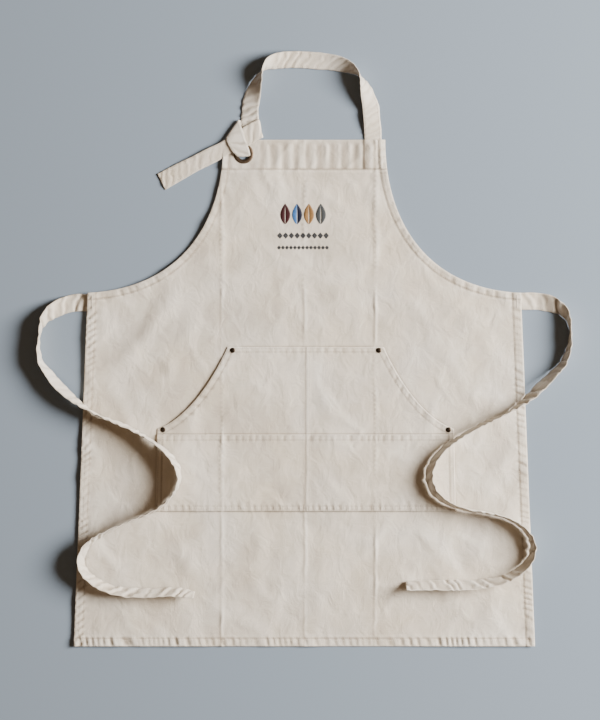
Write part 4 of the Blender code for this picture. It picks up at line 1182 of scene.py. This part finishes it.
def make_turnings(canvas, thread):
    """The turned hems and facings behind the panel."""
    under = CANVAS_THICKNESS + 0.03 * MM
    hem = 1.3 * MM
    for name, node, deep in (
        ("bottom", "bottom_hem", hem), ("left", "side_hem_left", hem), ("right", "side_hem_right", hem),
        ("left_armhole", "armhole_facing_left", hem), ("right_armhole", "armhole_facing_right", hem),
        ("top", "bib_top_facing", 0.6 * MM),
    ):
        edge = PANEL_EDGES[name]
        width = HEM_WIDTHS[name]
        if name in ("left", "right"):
            far = BOTTOM_HEM_WIDTH + 1.5 * MM
            length = length_of(edge)
            a, b = edge
            cut = a + (b - a) * far / length if name == "right" else b + (a - b) * far / length
            edge = np.array([cut, b] if name == "right" else [a, cut])
        if "armhole" in name:
            gone = TOP_FACING_DEPTH + 1.5 * MM
            edge = edge[np.abs(edge[:, 1] - BIB_TOP_Y) > gone]
            edge = edge[np.abs(edge[:, 0]) < WAIST_HALF_WIDTH - SIDE_HEM_WIDTH - 2 * MM]
        inset = 0.5 * MM
        outline = strip(edge, inset, width + 1.5 * MM)
        if name == "top":
            x = BIB_HALF_WIDTH - inset
            low = BIB_TOP_Y - TOP_FACING_DEPTH - 1.5 * MM
            outline = np.array([(-x, low), (x, low), (x, BIB_TOP_Y - inset), (-x, BIB_TOP_Y - inset)])
            outline = np.clip(outline, [-BIB_HALF_WIDTH + 1 * MM, -1], [BIB_HALF_WIDTH - 1 * MM, 1])
        if name == "bottom":
            x = HEM_HALF_WIDTH - 1.2 * MM
            outline = np.array(
                [
                    (-x, HEM_Y + inset), (x, HEM_Y + inset), (x, HEM_Y + width + 1.5 * MM),
                    (-x, HEM_Y + width + 1.5 * MM)
                ]
            )
        holes = [(EYELET[0], EYELET[1], 9.5 * MM)] if name == "top" else []
        piece = sheet(f"{node}_cloth", outline, panel_shape, deep, canvas, spacing=4 * MM, holes=holes, drop=under,
                      bands=[(edge, 30 * MM if name != "top" else 5 * MM)])
        declare(piece, "apron", "canvas", node)
        line = walk(offset_path(edge, width), 1.5 * MM)
        inner = inside(line[:, 0], line[:, 1], outline)
        line = line[inner]
        stitches = stitch_rows(
            f"{node}_stitches", [on_cloth(line[:, 0], line[:, 1], panel_shape, under + deep)], thread
        )
        declare(stitches, "apron", "ecru_thread")
        length = length_of(edge) if name not in ("top", "bottom") else 2 * (
            BIB_HALF_WIDTH if name == "top" else HEM_HALF_WIDTH
        )


def make_pockets(canvas, thread):
    rows = [offset_path(POCKET_EDGES["top"], 7.5 * MM), offset_path(POCKET_EDGES["left_opening"], 9 * MM),
            offset_path(POCKET_EDGES["right_opening"], 9 * MM)]
    divider = np.array([(POCKET_X, POCKET_BOTTOM_Y + 1 * MM), (POCKET_X, POCKET_TOP_Y - 1 * MM)])
    bands = [(edge, 14 * MM) for edge in POCKET_EDGES.values()] + [(divider, 7 * MM)]

    def thick(x, y):
        sewn = np.minimum.reduce([measure(x, y, POCKET_EDGES[name])[0] for name in ("left", "right")])
        return CANVAS_THICKNESS + 0.7 * MM * (1 - step(sewn, 2 * MM, 9 * MM))

    foot = offset_path(LOWER_EDGES["top"], -0.6 * MM)
    pocket = sheet("pocket_cloth", POCKET_OUTLINE, pocket_shape, thick, canvas, spacing=4 * MM, rows=rows + [divider, foot],
                   bands=bands)
    declare(pocket, "apron", "pocket_canvas", "kangaroo_pocket")
    lines = []
    for name, offs in (
        ("top", (2 * MM, 7.5 * MM)), ("left_opening", (2.2 * MM, 9 * MM)),
        ("right_opening", (2.2 * MM, 9 * MM))
    ):
        lines += [seam(offset_path(POCKET_EDGES[name], off), pocket_shape) for off in offs]
    for name in ("left", "right"):
        for off in (1.8 * MM, 7.5 * MM):
            path = offset_path(POCKET_EDGES[name], off)
            line = walk(path, 1.5 * MM)
            line = line[line[:, 1] > LOWER_TOP_Y + 1 * MM]
            lines.append(on_cloth(line[:, 0], line[:, 1], pocket_shape))
    stitches = stitch_rows("pocket_stitches", lines, thread)
    declare(stitches, "apron", "ecru_thread")
    upper = stitch_rows(
        "divider_stitches_upper",
        [
            seam(
                [(POCKET_X + off, LOWER_TOP_Y + 1 * MM), (POCKET_X + off, POCKET_TOP_Y - 3 * MM)],
                pocket_shape
            ) for off in (0, 6 * MM)
        ],
        thread,
    )
    declare(upper, "apron", "ecru_thread", "divider_seam_upper")

    edge = LOWER_EDGES["top"]
    rows = [offset_path(edge, 8.5 * MM), offset_path(LOWER_EDGES["bottom"], 7.5 * MM)]
    bands = [(path, 14 * MM) for path in LOWER_EDGES.values()] + [(divider, 7 * MM)]
    lower = sheet("lower_pocket_cloth", LOWER_OUTLINE, lower_shape, thick, canvas, spacing=4 * MM,
                  rows=rows + [divider[:1].tolist() + [(POCKET_X, LOWER_TOP_Y - 1 * MM)]], bands=bands)
    declare(lower, "apron", "pocket_canvas", "lower_pocket")
    lines = [seam(offset_path(edge, off), lower_shape) for off in (2 * MM, 8.5 * MM)]
    for name in ("left", "right"):
        lines += [seam(offset_path(LOWER_EDGES[name], off), lower_shape) for off in (1.8 * MM, 7.5 * MM)]
    lines += [seam(offset_path(LOWER_EDGES["bottom"], off), lower_shape) for off in (1.8 * MM, 7.5 * MM)]
    stitches = stitch_rows("lower_pocket_stitches", lines, thread)
    declare(stitches, "apron", "ecru_thread")
    base = LOWER_EDGES["bottom"][0]
    x = np.arange(base[0] + 9 * MM, LOWER_EDGES["bottom"][1][0] - 9 * MM, 3.5 * MM)
    near, far = np.stack(
        [x, np.full(len(x), base[1] + 2.3 * MM)], 1
    ), np.stack([x, np.full(len(x), base[1] + 6.9 * MM)], 1)
    ladder = satin("pocket_ladder_stitches", near, far, lower_shape, thread, radius=0.22 * MM, arch=0.2 * MM)
    declare(ladder, "apron", "ecru_thread")
    low = stitch_rows(
        "divider_stitches_lower",
        [
            seam(
                [(POCKET_X + off, POCKET_BOTTOM_Y + 2 * MM), (POCKET_X + off, LOWER_TOP_Y - 2 * MM)],
                lower_shape
            ) for off in (0, 6 * MM)
        ],
        thread,
    )
    declare(low, "apron", "ecru_thread", "divider_seam_lower")

    under = CANVAS_THICKNESS + 0.03 * MM
    for name, node, width, shape, edges in (
        ("top", "pocket_top_hem", 8 * MM, pocket_shape, POCKET_EDGES),
        ("left_opening", "hand_opening_facing_left", 10 * MM, pocket_shape, POCKET_EDGES),
        ("right_opening", "hand_opening_facing_right", 10 * MM, pocket_shape, POCKET_EDGES),
        ("top", "lower_pocket_hem", 10 * MM, lower_shape, LOWER_EDGES),
    ):
        edge = edges[name]
        inner = edge + (edge[::-1] - edge) * 0.02 if name == "top" else edge[2:-2]
        outline = strip(inner, 0.5 * MM, width)
        piece = sheet(
            f"{node}_cloth", outline, shape, 0.6 * MM, canvas, spacing=4 * MM, drop=under,
            bands=[(edge, 30 * MM)]
        )
        declare(piece, "apron", "pocket_canvas", node)


# ---------------------------------------------------------------------------
# Neck strap, knot and ties
# ---------------------------------------------------------------------------
def rows_grid(rows, spacing=1.6 * MM, columns=15):
    """The middle surface through rows of (low edge, high edge), smoothly between them."""
    rows = np.asarray(rows, float).reshape(len(rows), 6)
    ends = np.vstack([rows[:1], rows, rows[-1:]])
    dense = []
    for a, b, c, d in zip(ends, ends[1:], ends[2:], ends[3:]):
        t = np.linspace(0, 1, 16, endpoint=False)[:, None]
        dense.append(
            0.5 * (2 * b + (c - a) * t + (2 * a - 5 * b + 4 * c - d) * t**2 + (3 * b - a - 3 * c + d) * t**3)
        )
    dense = np.vstack(dense + [rows[-1:]])
    moved = np.diff(dense, axis=0)
    step_length = np.maximum(np.linalg.norm(moved[:, :3], axis=1), np.linalg.norm(moved[:, 3:], axis=1))
    far = np.concatenate([[0], np.cumsum(step_length)])
    at = np.linspace(0, far[-1], int(far[-1] / spacing) + 2)
    edges = np.stack([np.interp(at, far, column) for column in dense.T], 1)
    share = (np.linspace(-1, 1, columns)[None, :, None] + 1) / 2
    return edges[:, None, :3] * (1 - share) + edges[:, None, 3:] * share


def stations_from(route, corner, spacing=1.6 * MM):
    """A CAD route as x, y, lean in radians and foot, in metres."""
    points = curve_points(
        [(x * MM, y * MM, math.radians(lean), foot * MM) for x, y, lean, foot in route], spacing
    )
    points[:, 0] += corner[0]
    points[:, 1] += corner[1]
    return points


def tape_stitches(name, grids, thread, ended=True):
    """Both rows of edge stitches, on both faces, and one across the loose end."""
    rows = []
    for grid in grids:
        if ended:
            end = grid[-3, 1:-1]
            out = normals_of(grid)[-3, 1:-1]
            rows += [(end + face * out * TAPE_THICKNESS * 0.40, face * out) for face in (1, -1)]
        normal = normals_of(grid)
        columns = grid.shape[1]
        for share in (0.10, 0.90):
            at = share * (columns - 1)
            k = int(at)
            part = at - k
            points = grid[:, k] * (1 - part) + grid[:, k + 1] * part
            out = normal[:, k] * (1 - part) + normal[:, k + 1] * part
            for face in (1, -1):
                rows.append((points + face * out * TAPE_THICKNESS * 0.40, face * out))
    return stitch_rows(name, rows, thread)


STRAP_BACK = (      # centre x and y from the eyelet, width, height and thickness, in millimetres
    (9.7, 44.0, 25.0, 1.5), (
        9.6, 36.0, 25.0, 1.45
    ), (9.2, 28.5, 25.0, 1.3), (8.2, 22.5, 24.0, 1.05), (6.5, 17.5, 22.0, 0.75),
    (3.4, 10.0, 17.0, 0.65), (0.8, 4.0, 14.0, 0.95), (0.1, 0.3, 13.5, 2.1),
)
KNOT_ROWS = (       # low edge then high edge, x and y from the eyelet and z, in millimetres
    (
        (-6.9, -1.6, 2.6), (6.9, -1.4, 2.6)
    ), ((-7.8, -3.9, 5.0), (8.8, -3.4, 5.0)), ((-9.6, -3.7, 7.3), (9.6, -1.2, 7.3)),
    ((-12.2, -1.4, 8.4), (8.7, 3.6, 8.4)), ((-17.6, 4.6, 8.7), (6.6, 10.4, 8.7)), (
        (-20.9, 10.2, 8.7), (3.6, 18.2, 8.7)
    ),
    ((-23.3, 15.5, 8.4), (0.2, 27.6, 8.4)), (
        (-25.0, 19.4, 7.7), (-3.4, 38.6, 7.6)
    ), ((-26.6, 22.9, 5.3), (-7.4, 49.9, 5.2)),
    ((-25.8, 22.6, 2.4), (-5.9, 49.6, 2.3)), (
        (-21.8, 21.7, 1.15), (-0.6, 49.2, 1.15)
    ), ((-6.0, 22.4, 1.05), (8.4, 50.4, 1.05)),
    (
        (12.0, 23.4, 1.05), (15.6, 51.0, 1.05)
    ), ((25.6, 23.7, 1.5), (21.4, 51.0, 1.5)), ((28.9, 24.3, 3.9), (23.1, 51.6, 3.6)),
    (
        (26.6, 23.3, 6.0), (20.6, 50.6, 5.7)
    ), ((18.4, 18.9, 6.2), (10.4, 45.2, 6.1)), ((9.8, 13.4, 6.2), (-1.7, 38.3, 6.2)),
    ((-3.8, 7.4, 6.0), (-13.4, 29.9, 6.1)), ((-18.2, 1.4, 5.6), (-25.4, 22.0, 5.9)), (
        (-34.5, -8.2, 4.5), (-43.5, 12.4, 4.9)
    ),
    ((-52.5, -17.6, 4.0), (-62.0, 3.5, 4.3)), ((-75.0, -29.2, 3.0), (-86.0, -8.6, 3.3)), (
        (-98.0, -42.1, 1.9), (-108.8, -20.0, 2.1)
    ),
    ((-117.6, -53.6, 1.25), (-129.0, -30.6, 1.35)),
)


def make_neck_strap(canvas, thread):
    top = np.array([0, BIB_TOP_Y])
    anchor_x = ANCHOR[0] / MM
    route = (
        (anchor_x, 1.5 - TOP_FACING_DEPTH / MM, 90, 0.35), (anchor_x, -20, 90, 0.35), (anchor_x, -1, 90, 0.5),
        (anchor_x - 0.6, 16, 90, 1.6),
    ) + LOOP_ROUTE
    stations = stations_from(route, top)
    low = 0.5 * MM
    stations[:, 3] = np.where(stations[:, 3] > low, low + 0.1 * (stations[:, 3] - low), stations[:, 3])
    stations[:, 2] -= math.radians(13) * bump(stations[:, 1], BIB_TOP_Y + 36 * MM, 20 * MM)
    loop = tape_grid(stations)
    eyelet = EYELET[:2] / MM
    rows = []
    for x, y, width, z in STRAP_BACK:
        rows.append([(eyelet[0] + x - width / 2) * MM, (eyelet[1] + y) * MM, z * MM,
                     (eyelet[0] + x + width / 2) * MM, (eyelet[1] + y) * MM, z * MM])
    last = [*loop[-4, 0], *loop[-4, -1]]
    back = rows_grid([last] + rows)
    grid = np.concatenate([loop[:-4], back])
    length = arc_of(grid)
    grid, tone = pucker_tape(grid, 5, fade_in=24 * MM, fade_out=35 * MM, deep=1.1, pitch=12 * MM)
    thickness = TAPE_THICKNESS - 0.45 * MM * step(length, length[-1] - 34 * MM, length[-1] - 26 * MM)
    strap = tape("neck_strap_cloth", grid, tone, canvas, thickness=thickness)
    stitches = tape_stitches("neck_strap_stitches", [grid[:-12]], thread, False)
    for piece in (strap, stitches):
        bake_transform(piece)
    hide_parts("neck_strap_anchor", "neck_strap_loop", "neck_strap_back_pass")

    centre = np.array([EYELET[0], EYELET[1], 0, EYELET[0], EYELET[1], 0])
    rows = np.array(KNOT_ROWS).reshape(-1, 6) * MM + centre
    knot = rows_grid(rows)
    far = arc_of(knot)
    knot, tone = pucker_tape(
        knot, 9, fade_in=8 * MM, deep=0.40 + 0.6 * step(far, far[-1] - 95 * MM, far[-1] - 70 * MM)
    )
    knot_piece = tape("neck_knot_cloth", knot, tone, canvas, start=0.9, thickness=1.35 * MM)
    knot_stitches = tape_stitches("neck_knot_stitches", [knot[4:]], thread)
    for piece in (knot_piece, knot_stitches):
        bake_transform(piece)
    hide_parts("neck_strap_knot", "neck_strap_tail")


def turned(x, y, hinge, degrees):
    c, s = math.cos(math.radians(degrees)), math.sin(math.radians(degrees))
    return hinge[0] + c * (
        x - hinge[0]
    ) - s * (y - hinge[1]), hinge[1] + s * (x - hinge[0]) + c * (y - hinge[1])


def tie_stations(route, corner, side, swing, bend):
    """The tie's stations, with its foot on the highest cloth that it passes over in its inward swing."""
    stations = stations_from(route, corner)
    x, y = stations[:, 0], stations[:, 1]
    high = np.zeros(len(x))
    for first in (0, 2.8, 5.6, 8.2):
        for second in (0, 4, 8.2):
            past = y < bend[1] + 12 * MM
            bent_x, bent_y = turned(x, y, bend, -side * second)
            swept_x, swept_y = turned(
                np.where(past, bent_x, x), np.where(past, bent_y, y), swing, -side * first
            )
            for dx in (-5, 0, 5):
                for dy in (-4, 4):
                    high = np.maximum(high, ground(swept_x + dx * MM, swept_y + dy * MM))
    level = np.maximum(stations[:, 3] - 1.0 * MM, high + 1.1 * MM)
    wide = np.array([level[max(0, i - 9):i + 10].max() for i in range(len(level))])
    smooth = np.array([wide[max(0, i - 9):i + 10].mean() for i in range(len(wide))])
    share = step(corner[1] - y, 104 * MM, 122 * MM)
    stations[:, 3] = stations[:, 3] * (1 - share) + smooth * share
    stations[:, 2] += share * math.radians(5) * noise(y, x, 0.04, 50 + side)
    way = np.stack([np.gradient(x), np.gradient(y)], 1)
    way /= np.hypot(way[:, 0], way[:, 1])[:, None]
    shift = 0.8 * share * TAPE_WIDTH / 2 * np.sin(stations[:, 2])
    stations[:, 0] = x + way[:, 1] * shift
    stations[:, 1] = y - way[:, 0] * shift
    return stations


def make_ties(canvas, thread):
    joints = {j["name"]: j for j in frame["joints"]}
    for word, side, root, loop, run in (
        ("left", -1, TIE_LEFT_ROOT_ROUTE, TIE_LEFT_LOOP_ROUTE, TIE_LEFT_RUN_ROUTE),
        ("right", 1, TIE_RIGHT_ROOT_ROUTE, TIE_RIGHT_LOOP_ROUTE, TIE_RIGHT_RUN_ROUTE),
    ):
        corner = np.array([side * WAIST_HALF_WIDTH, WAIST_Y])
        sewn = ((-side * 18.0, *root[0][1:]),) + root[:-1] + loop[:-1] + run
        swing, bend = (joints[f"tie_{word}_{which}"]["pos_m"] for which in ("swing", "bend"))
        stations = tie_stations(sewn, corner, side, swing, bend)
        grid = tape_grid(stations)
        grid, tone = pucker_tape(grid, 14 if side < 0 else 21, fade_in=30 * MM, deep=1.3, pitch=16 * MM)
        far = arc_of(grid)
        cut = int(np.argmax(stations[:, 1] < corner[1] - 100 * MM))
        parts = ((f"tie_{word}_upper", slice(0, cut + 1)), (f"tie_{word}_lower", slice(cut, len(grid))))
        for (name, part), joint, bodies, nodes, way in (
            (
                parts[0], "swing", ("apron", f"tie_{word}_loop"), (f"tie_{word}_root", f"tie_{word}_loop"),
                (0, -1)
            ),
            (
                parts[1], "bend", (f"tie_{word}_loop", f"tie_{word}_run"), (f"tie_{word}_run",),
                (-side * 0.906, -0.423)
            ),
        ):
            way = np.array([*way, 0])
            piece = tape(f"{name}_cloth", grid[part], tone[part], canvas, start=float(far[part][0]))
            rows = grid[part][6:] if joint == "swing" else grid[part]
            stitches = tape_stitches(f"{name}_stitches", [rows], thread, joint == "bend")
            for made in (piece, stitches):
                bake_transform(made)
            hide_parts(*nodes)


# ---------------------------------------------------------------------------
# Stitched blocks, embroidery and metal
# ---------------------------------------------------------------------------
def make_tacks(thread):
    x, y = ANCHOR[0], ANCHOR[1]
    half_x, half_y = 8.5 * MM, 17 * MM
    corners = [
        (x - half_x, y - half_y), (x + half_x, y - half_y), (x + half_x, y + half_y), (x - half_x, y + half_y)
    ]
    paths = [
        (corners[k], corners[(k + 1) % 4]) for k in range(4)
    ] + [(corners[0], corners[2]), (corners[1], corners[3])]
    box = stitch_rows("strap_box_stitches", [seam(path, panel_shape) for path in paths], thread)
    declare(box, "apron", "ecru_thread", "strap_box_stitch")
    for side, word, off in ((-1, "left", -14.5), (1, "right", -12.5)):
        x = side * (WAIST_HALF_WIDTH - 6 * MM)
        y = WAIST_Y + off * MM + np.arange(-9.5, 9.6, 0.55) * MM
        starts = np.stack([np.full(len(y), x - 1.4 * MM), y], 1)
        ends = np.stack([np.full(len(y), x + 1.4 * MM), y + 0.3 * MM], 1)
        tack = satin(f"bar_tack_stitches_{word}", starts, ends, panel_shape, thread, arch=0.25 * MM)
        declare(tack, "apron", "ecru_thread", f"bar_tack_{word}")


def leaf_half(t):
    return 8.0 * MM * np.sin(math.pi * t) ** 0.8 * (1.12 - 0.28 * t)


def make_embroidery(colours):
    centre = middle_of("leaf_blue")
    pitch, tall = 0.42 * MM, 31 * MM
    nodes = ("leaf_maroon", "leaf_blue", "leaf_tan", "leaf_grey")
    for node in nodes:
        low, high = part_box(node)
        x, bottom = (low[0] + high[0]) / 2, low[1]
        word = node.split("_")[1]
        count = int(tall / pitch)
        t = (np.arange(count) + 0.5) / count
        halves = []
        for way in (-1, 1):
            root = np.stack(
                [np.full(count, x) + way * 0.15 * MM, bottom + tall * np.clip(t - 0.06, 0.01, 0.98)], 1
            )
            tip_t = np.clip(t + 0.05, 0, 0.995)
            tip = np.stack([x + way * leaf_half(tip_t), bottom + tall * tip_t], 1)
            halves.append((root, tip))
        if word == "blue":
            piece = satin("leaf_stitches_blue", *halves[0], panel_shape, colours["blue"])
            dark = satin("leaf_stitches_navy", *halves[1], panel_shape, colours["navy"])
            declare(dark, "apron", "blue_thread")
        else:
            starts, ends = (np.vstack([halves[0][k], halves[1][k]]) for k in (0, 1))
            piece = satin(f"leaf_stitches_{word}", starts, ends, panel_shape, colours[word])
        declare(piece, "apron", f"{word}_thread", node)
    for node, count, tall in (("stitch_bar_upper", 9, 10.4 * MM), ("stitch_bar_lower", 13, 6.9 * MM)):
        low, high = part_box(node)
        wide = high[0] - low[0]
        starts, ends = [], []
        for k in range(count):
            cx, cy = low[0] + wide * (k + 0.5) / count, (low[1] + high[1]) / 2
            half = wide / count * 0.44
            lines = int(2 * half / (0.42 * MM))
            for i in range(lines):
                x = cx - half + 2 * half * (i + 0.5) / lines
                reach = tall / 2 * (1 - abs(x - cx) / half) ** 0.75
                if reach > 0.5 * MM:
                    starts.append((x, cy - reach))
                    ends.append((x, cy + reach))
        piece = satin(
            node.replace("bar", "row") + "_lozenges", starts, ends, panel_shape, colours["dark"],
            arch=0.35 * MM
        )
        declare(piece, "apron", "dark_thread", node)


def make_metal(brass, rivet):
    seat = PANEL_TOP_Z
    inner, outer = 8.5 * MM, 15 * MM
    profile = [(inner, 0.5 * MM, 0.2), (inner + 0.25 * MM, 0.2 * MM, 0.2), (inner + 0.8 * MM, 0.2 * MM, 0.0),
               (inner + 0.9 * MM, seat - 0.2 * MM, 0.0), (inner + 1.3 * MM, seat + 0.02 * MM, 0.0),
               (outer - 0.4 * MM, seat - 0.02 * MM, 0.0), (outer - 0.05 * MM, seat + 0.12 * MM, 0.6),
               (outer, seat + 0.35 * MM, 1.0), (outer - 0.25 * MM, seat + 0.58 * MM, 1.0),
               (outer - 0.8 * MM, seat + 0.72 * MM, 0.8)]
    for k in range(1, 14):
        t = k / 14
        r = outer - 0.8 * MM - t * (outer - 1.6 * MM - inner)
        crown = seat + (0.72 + 0.38 * math.sin(math.pi * t) ** 0.8) * MM
        profile.append((r, crown, 0.75 * (1 - t) + 0.1))
    profile += [
        (inner + 0.7 * MM, seat + 0.66 * MM, 0.25), (inner + 0.3 * MM, seat + 0.45 * MM, 0.5),
        (inner, seat, 0.35)
    ]
    eyelet = lathe("eyelet_ring", profile, EYELET, brass, 96)
    declare(eyelet, "apron", "eyelet_brass", "eyelet_flange")
    top = 1.15 * MM
    washer = [(9.6 * MM, top - 0.9 * MM, 0.3), (10.4 * MM, top - 1.1 * MM, 0.6), (13.2 * MM, top - 0.8 * MM, 0.5),
              (
                  14.0 * MM, top - 0.5 * MM, 0.9
              ), (13.9 * MM, top - 0.1 * MM, 0.5), (13.4 * MM, top, 0), (9.9 * MM, top, 0),
              (9.6 * MM, top - 0.2 * MM, 0)]
    ring = lathe("eyelet_back_ring", washer, EYELET, brass, 96)
    declare(ring, "apron", "eyelet_brass", "eyelet_washer")

    for word, centre in RIVETS.items():
        x, y = np.array([centre[0]]), np.array([centre[1]])
        base = float(pocket_shape(x, y)[0][0])
        radius, tall = 4.0 * MM, 1.6 * MM
        cap = [(0, base - 0.3 * MM, 0), (radius * 0.9, base - 0.3 * MM, 0), (radius, base + 0.1 * MM, 0.5),
               (radius * 0.99, base + 0.45 * MM, 0.8)]
        cap += [(radius * math.cos(a), base + 0.45 * MM + (tall - 0.45 * MM) * math.sin(a), 0.25 * math.sin(a))
                for a in np.linspace(0.18, 1.45, 9)]
        cap += [(0, base + tall, 0.2)]
        piece = lathe(f"rivet_dome_{word}", cap, centre, rivet, 64)
        declare(piece, "apron", "rivet_brass", f"rivet_cap_{word}")
        under = PANEL_TOP_Z - CANVAS_THICKNESS
        back = [(0, under - 1.0 * MM, 0.2), (2.4 * MM, under - 1.05 * MM, 0.3), (2.8 * MM, under - 0.85 * MM, 0),
                (3.6 * MM, under - 0.8 * MM, 0.6), (4.0 * MM, under - 0.4 * MM, 0.8), (3.9 * MM, under, 0), (0, under, 0)]
        piece = lathe(f"rivet_disc_{word}", back, centre, rivet, 64)
        declare(piece, "apron", "rivet_brass", f"rivet_back_{word}")


# ---------------------------------------------------------------------------
# All of it
# ---------------------------------------------------------------------------
make_stage()
canvas = canvas_material("canvas_weave", (0.70, 0.63, 0.535), 0.62 * MM)
pocket_canvas = canvas_material("pocket_weave", (0.71, 0.64, 0.545), 0.62 * MM)
tape_canvas = canvas_material("tape_weave", (0.72, 0.65, 0.555), 0.62 * MM, 0.6)
thread = thread_material("sewing_thread", (0.66, 0.59, 0.50))
colours = {
    "maroon": thread_material("maroon_silk", (0.042, 0.0015, 0.0035), 0.02, 0.5),
    "blue": thread_material("blue_silk", (0.050, 0.17, 0.42), 0.06, 0.5),
    "navy": thread_material("navy_silk", (0.004, 0.006, 0.026), 0.05, 0.5),
    "tan": thread_material("tan_silk", (0.30, 0.160, 0.055), 0.06, 0.5),
    "grey": thread_material("grey_silk", (0.062, 0.068, 0.070), 0.06, 0.5),
    "dark": thread_material("dark_silk", (0.010, 0.0095, 0.013), 0.05, 0.5),
}
brass = metal_material("antique_brass", (0.055, 0.038, 0.026), (0.19, 0.135, 0.092), 0.45)
rivet = metal_material("dark_brass", (0.035, 0.026, 0.020), (0.20, 0.15, 0.11), 0.32)

make_panel(canvas, thread)
make_turnings(canvas, thread)
make_pockets(pocket_canvas, thread)
make_neck_strap(tape_canvas, thread)
make_ties(tape_canvas, thread)
make_tacks(thread)
make_embroidery(colours)
make_metal(brass, rivet)
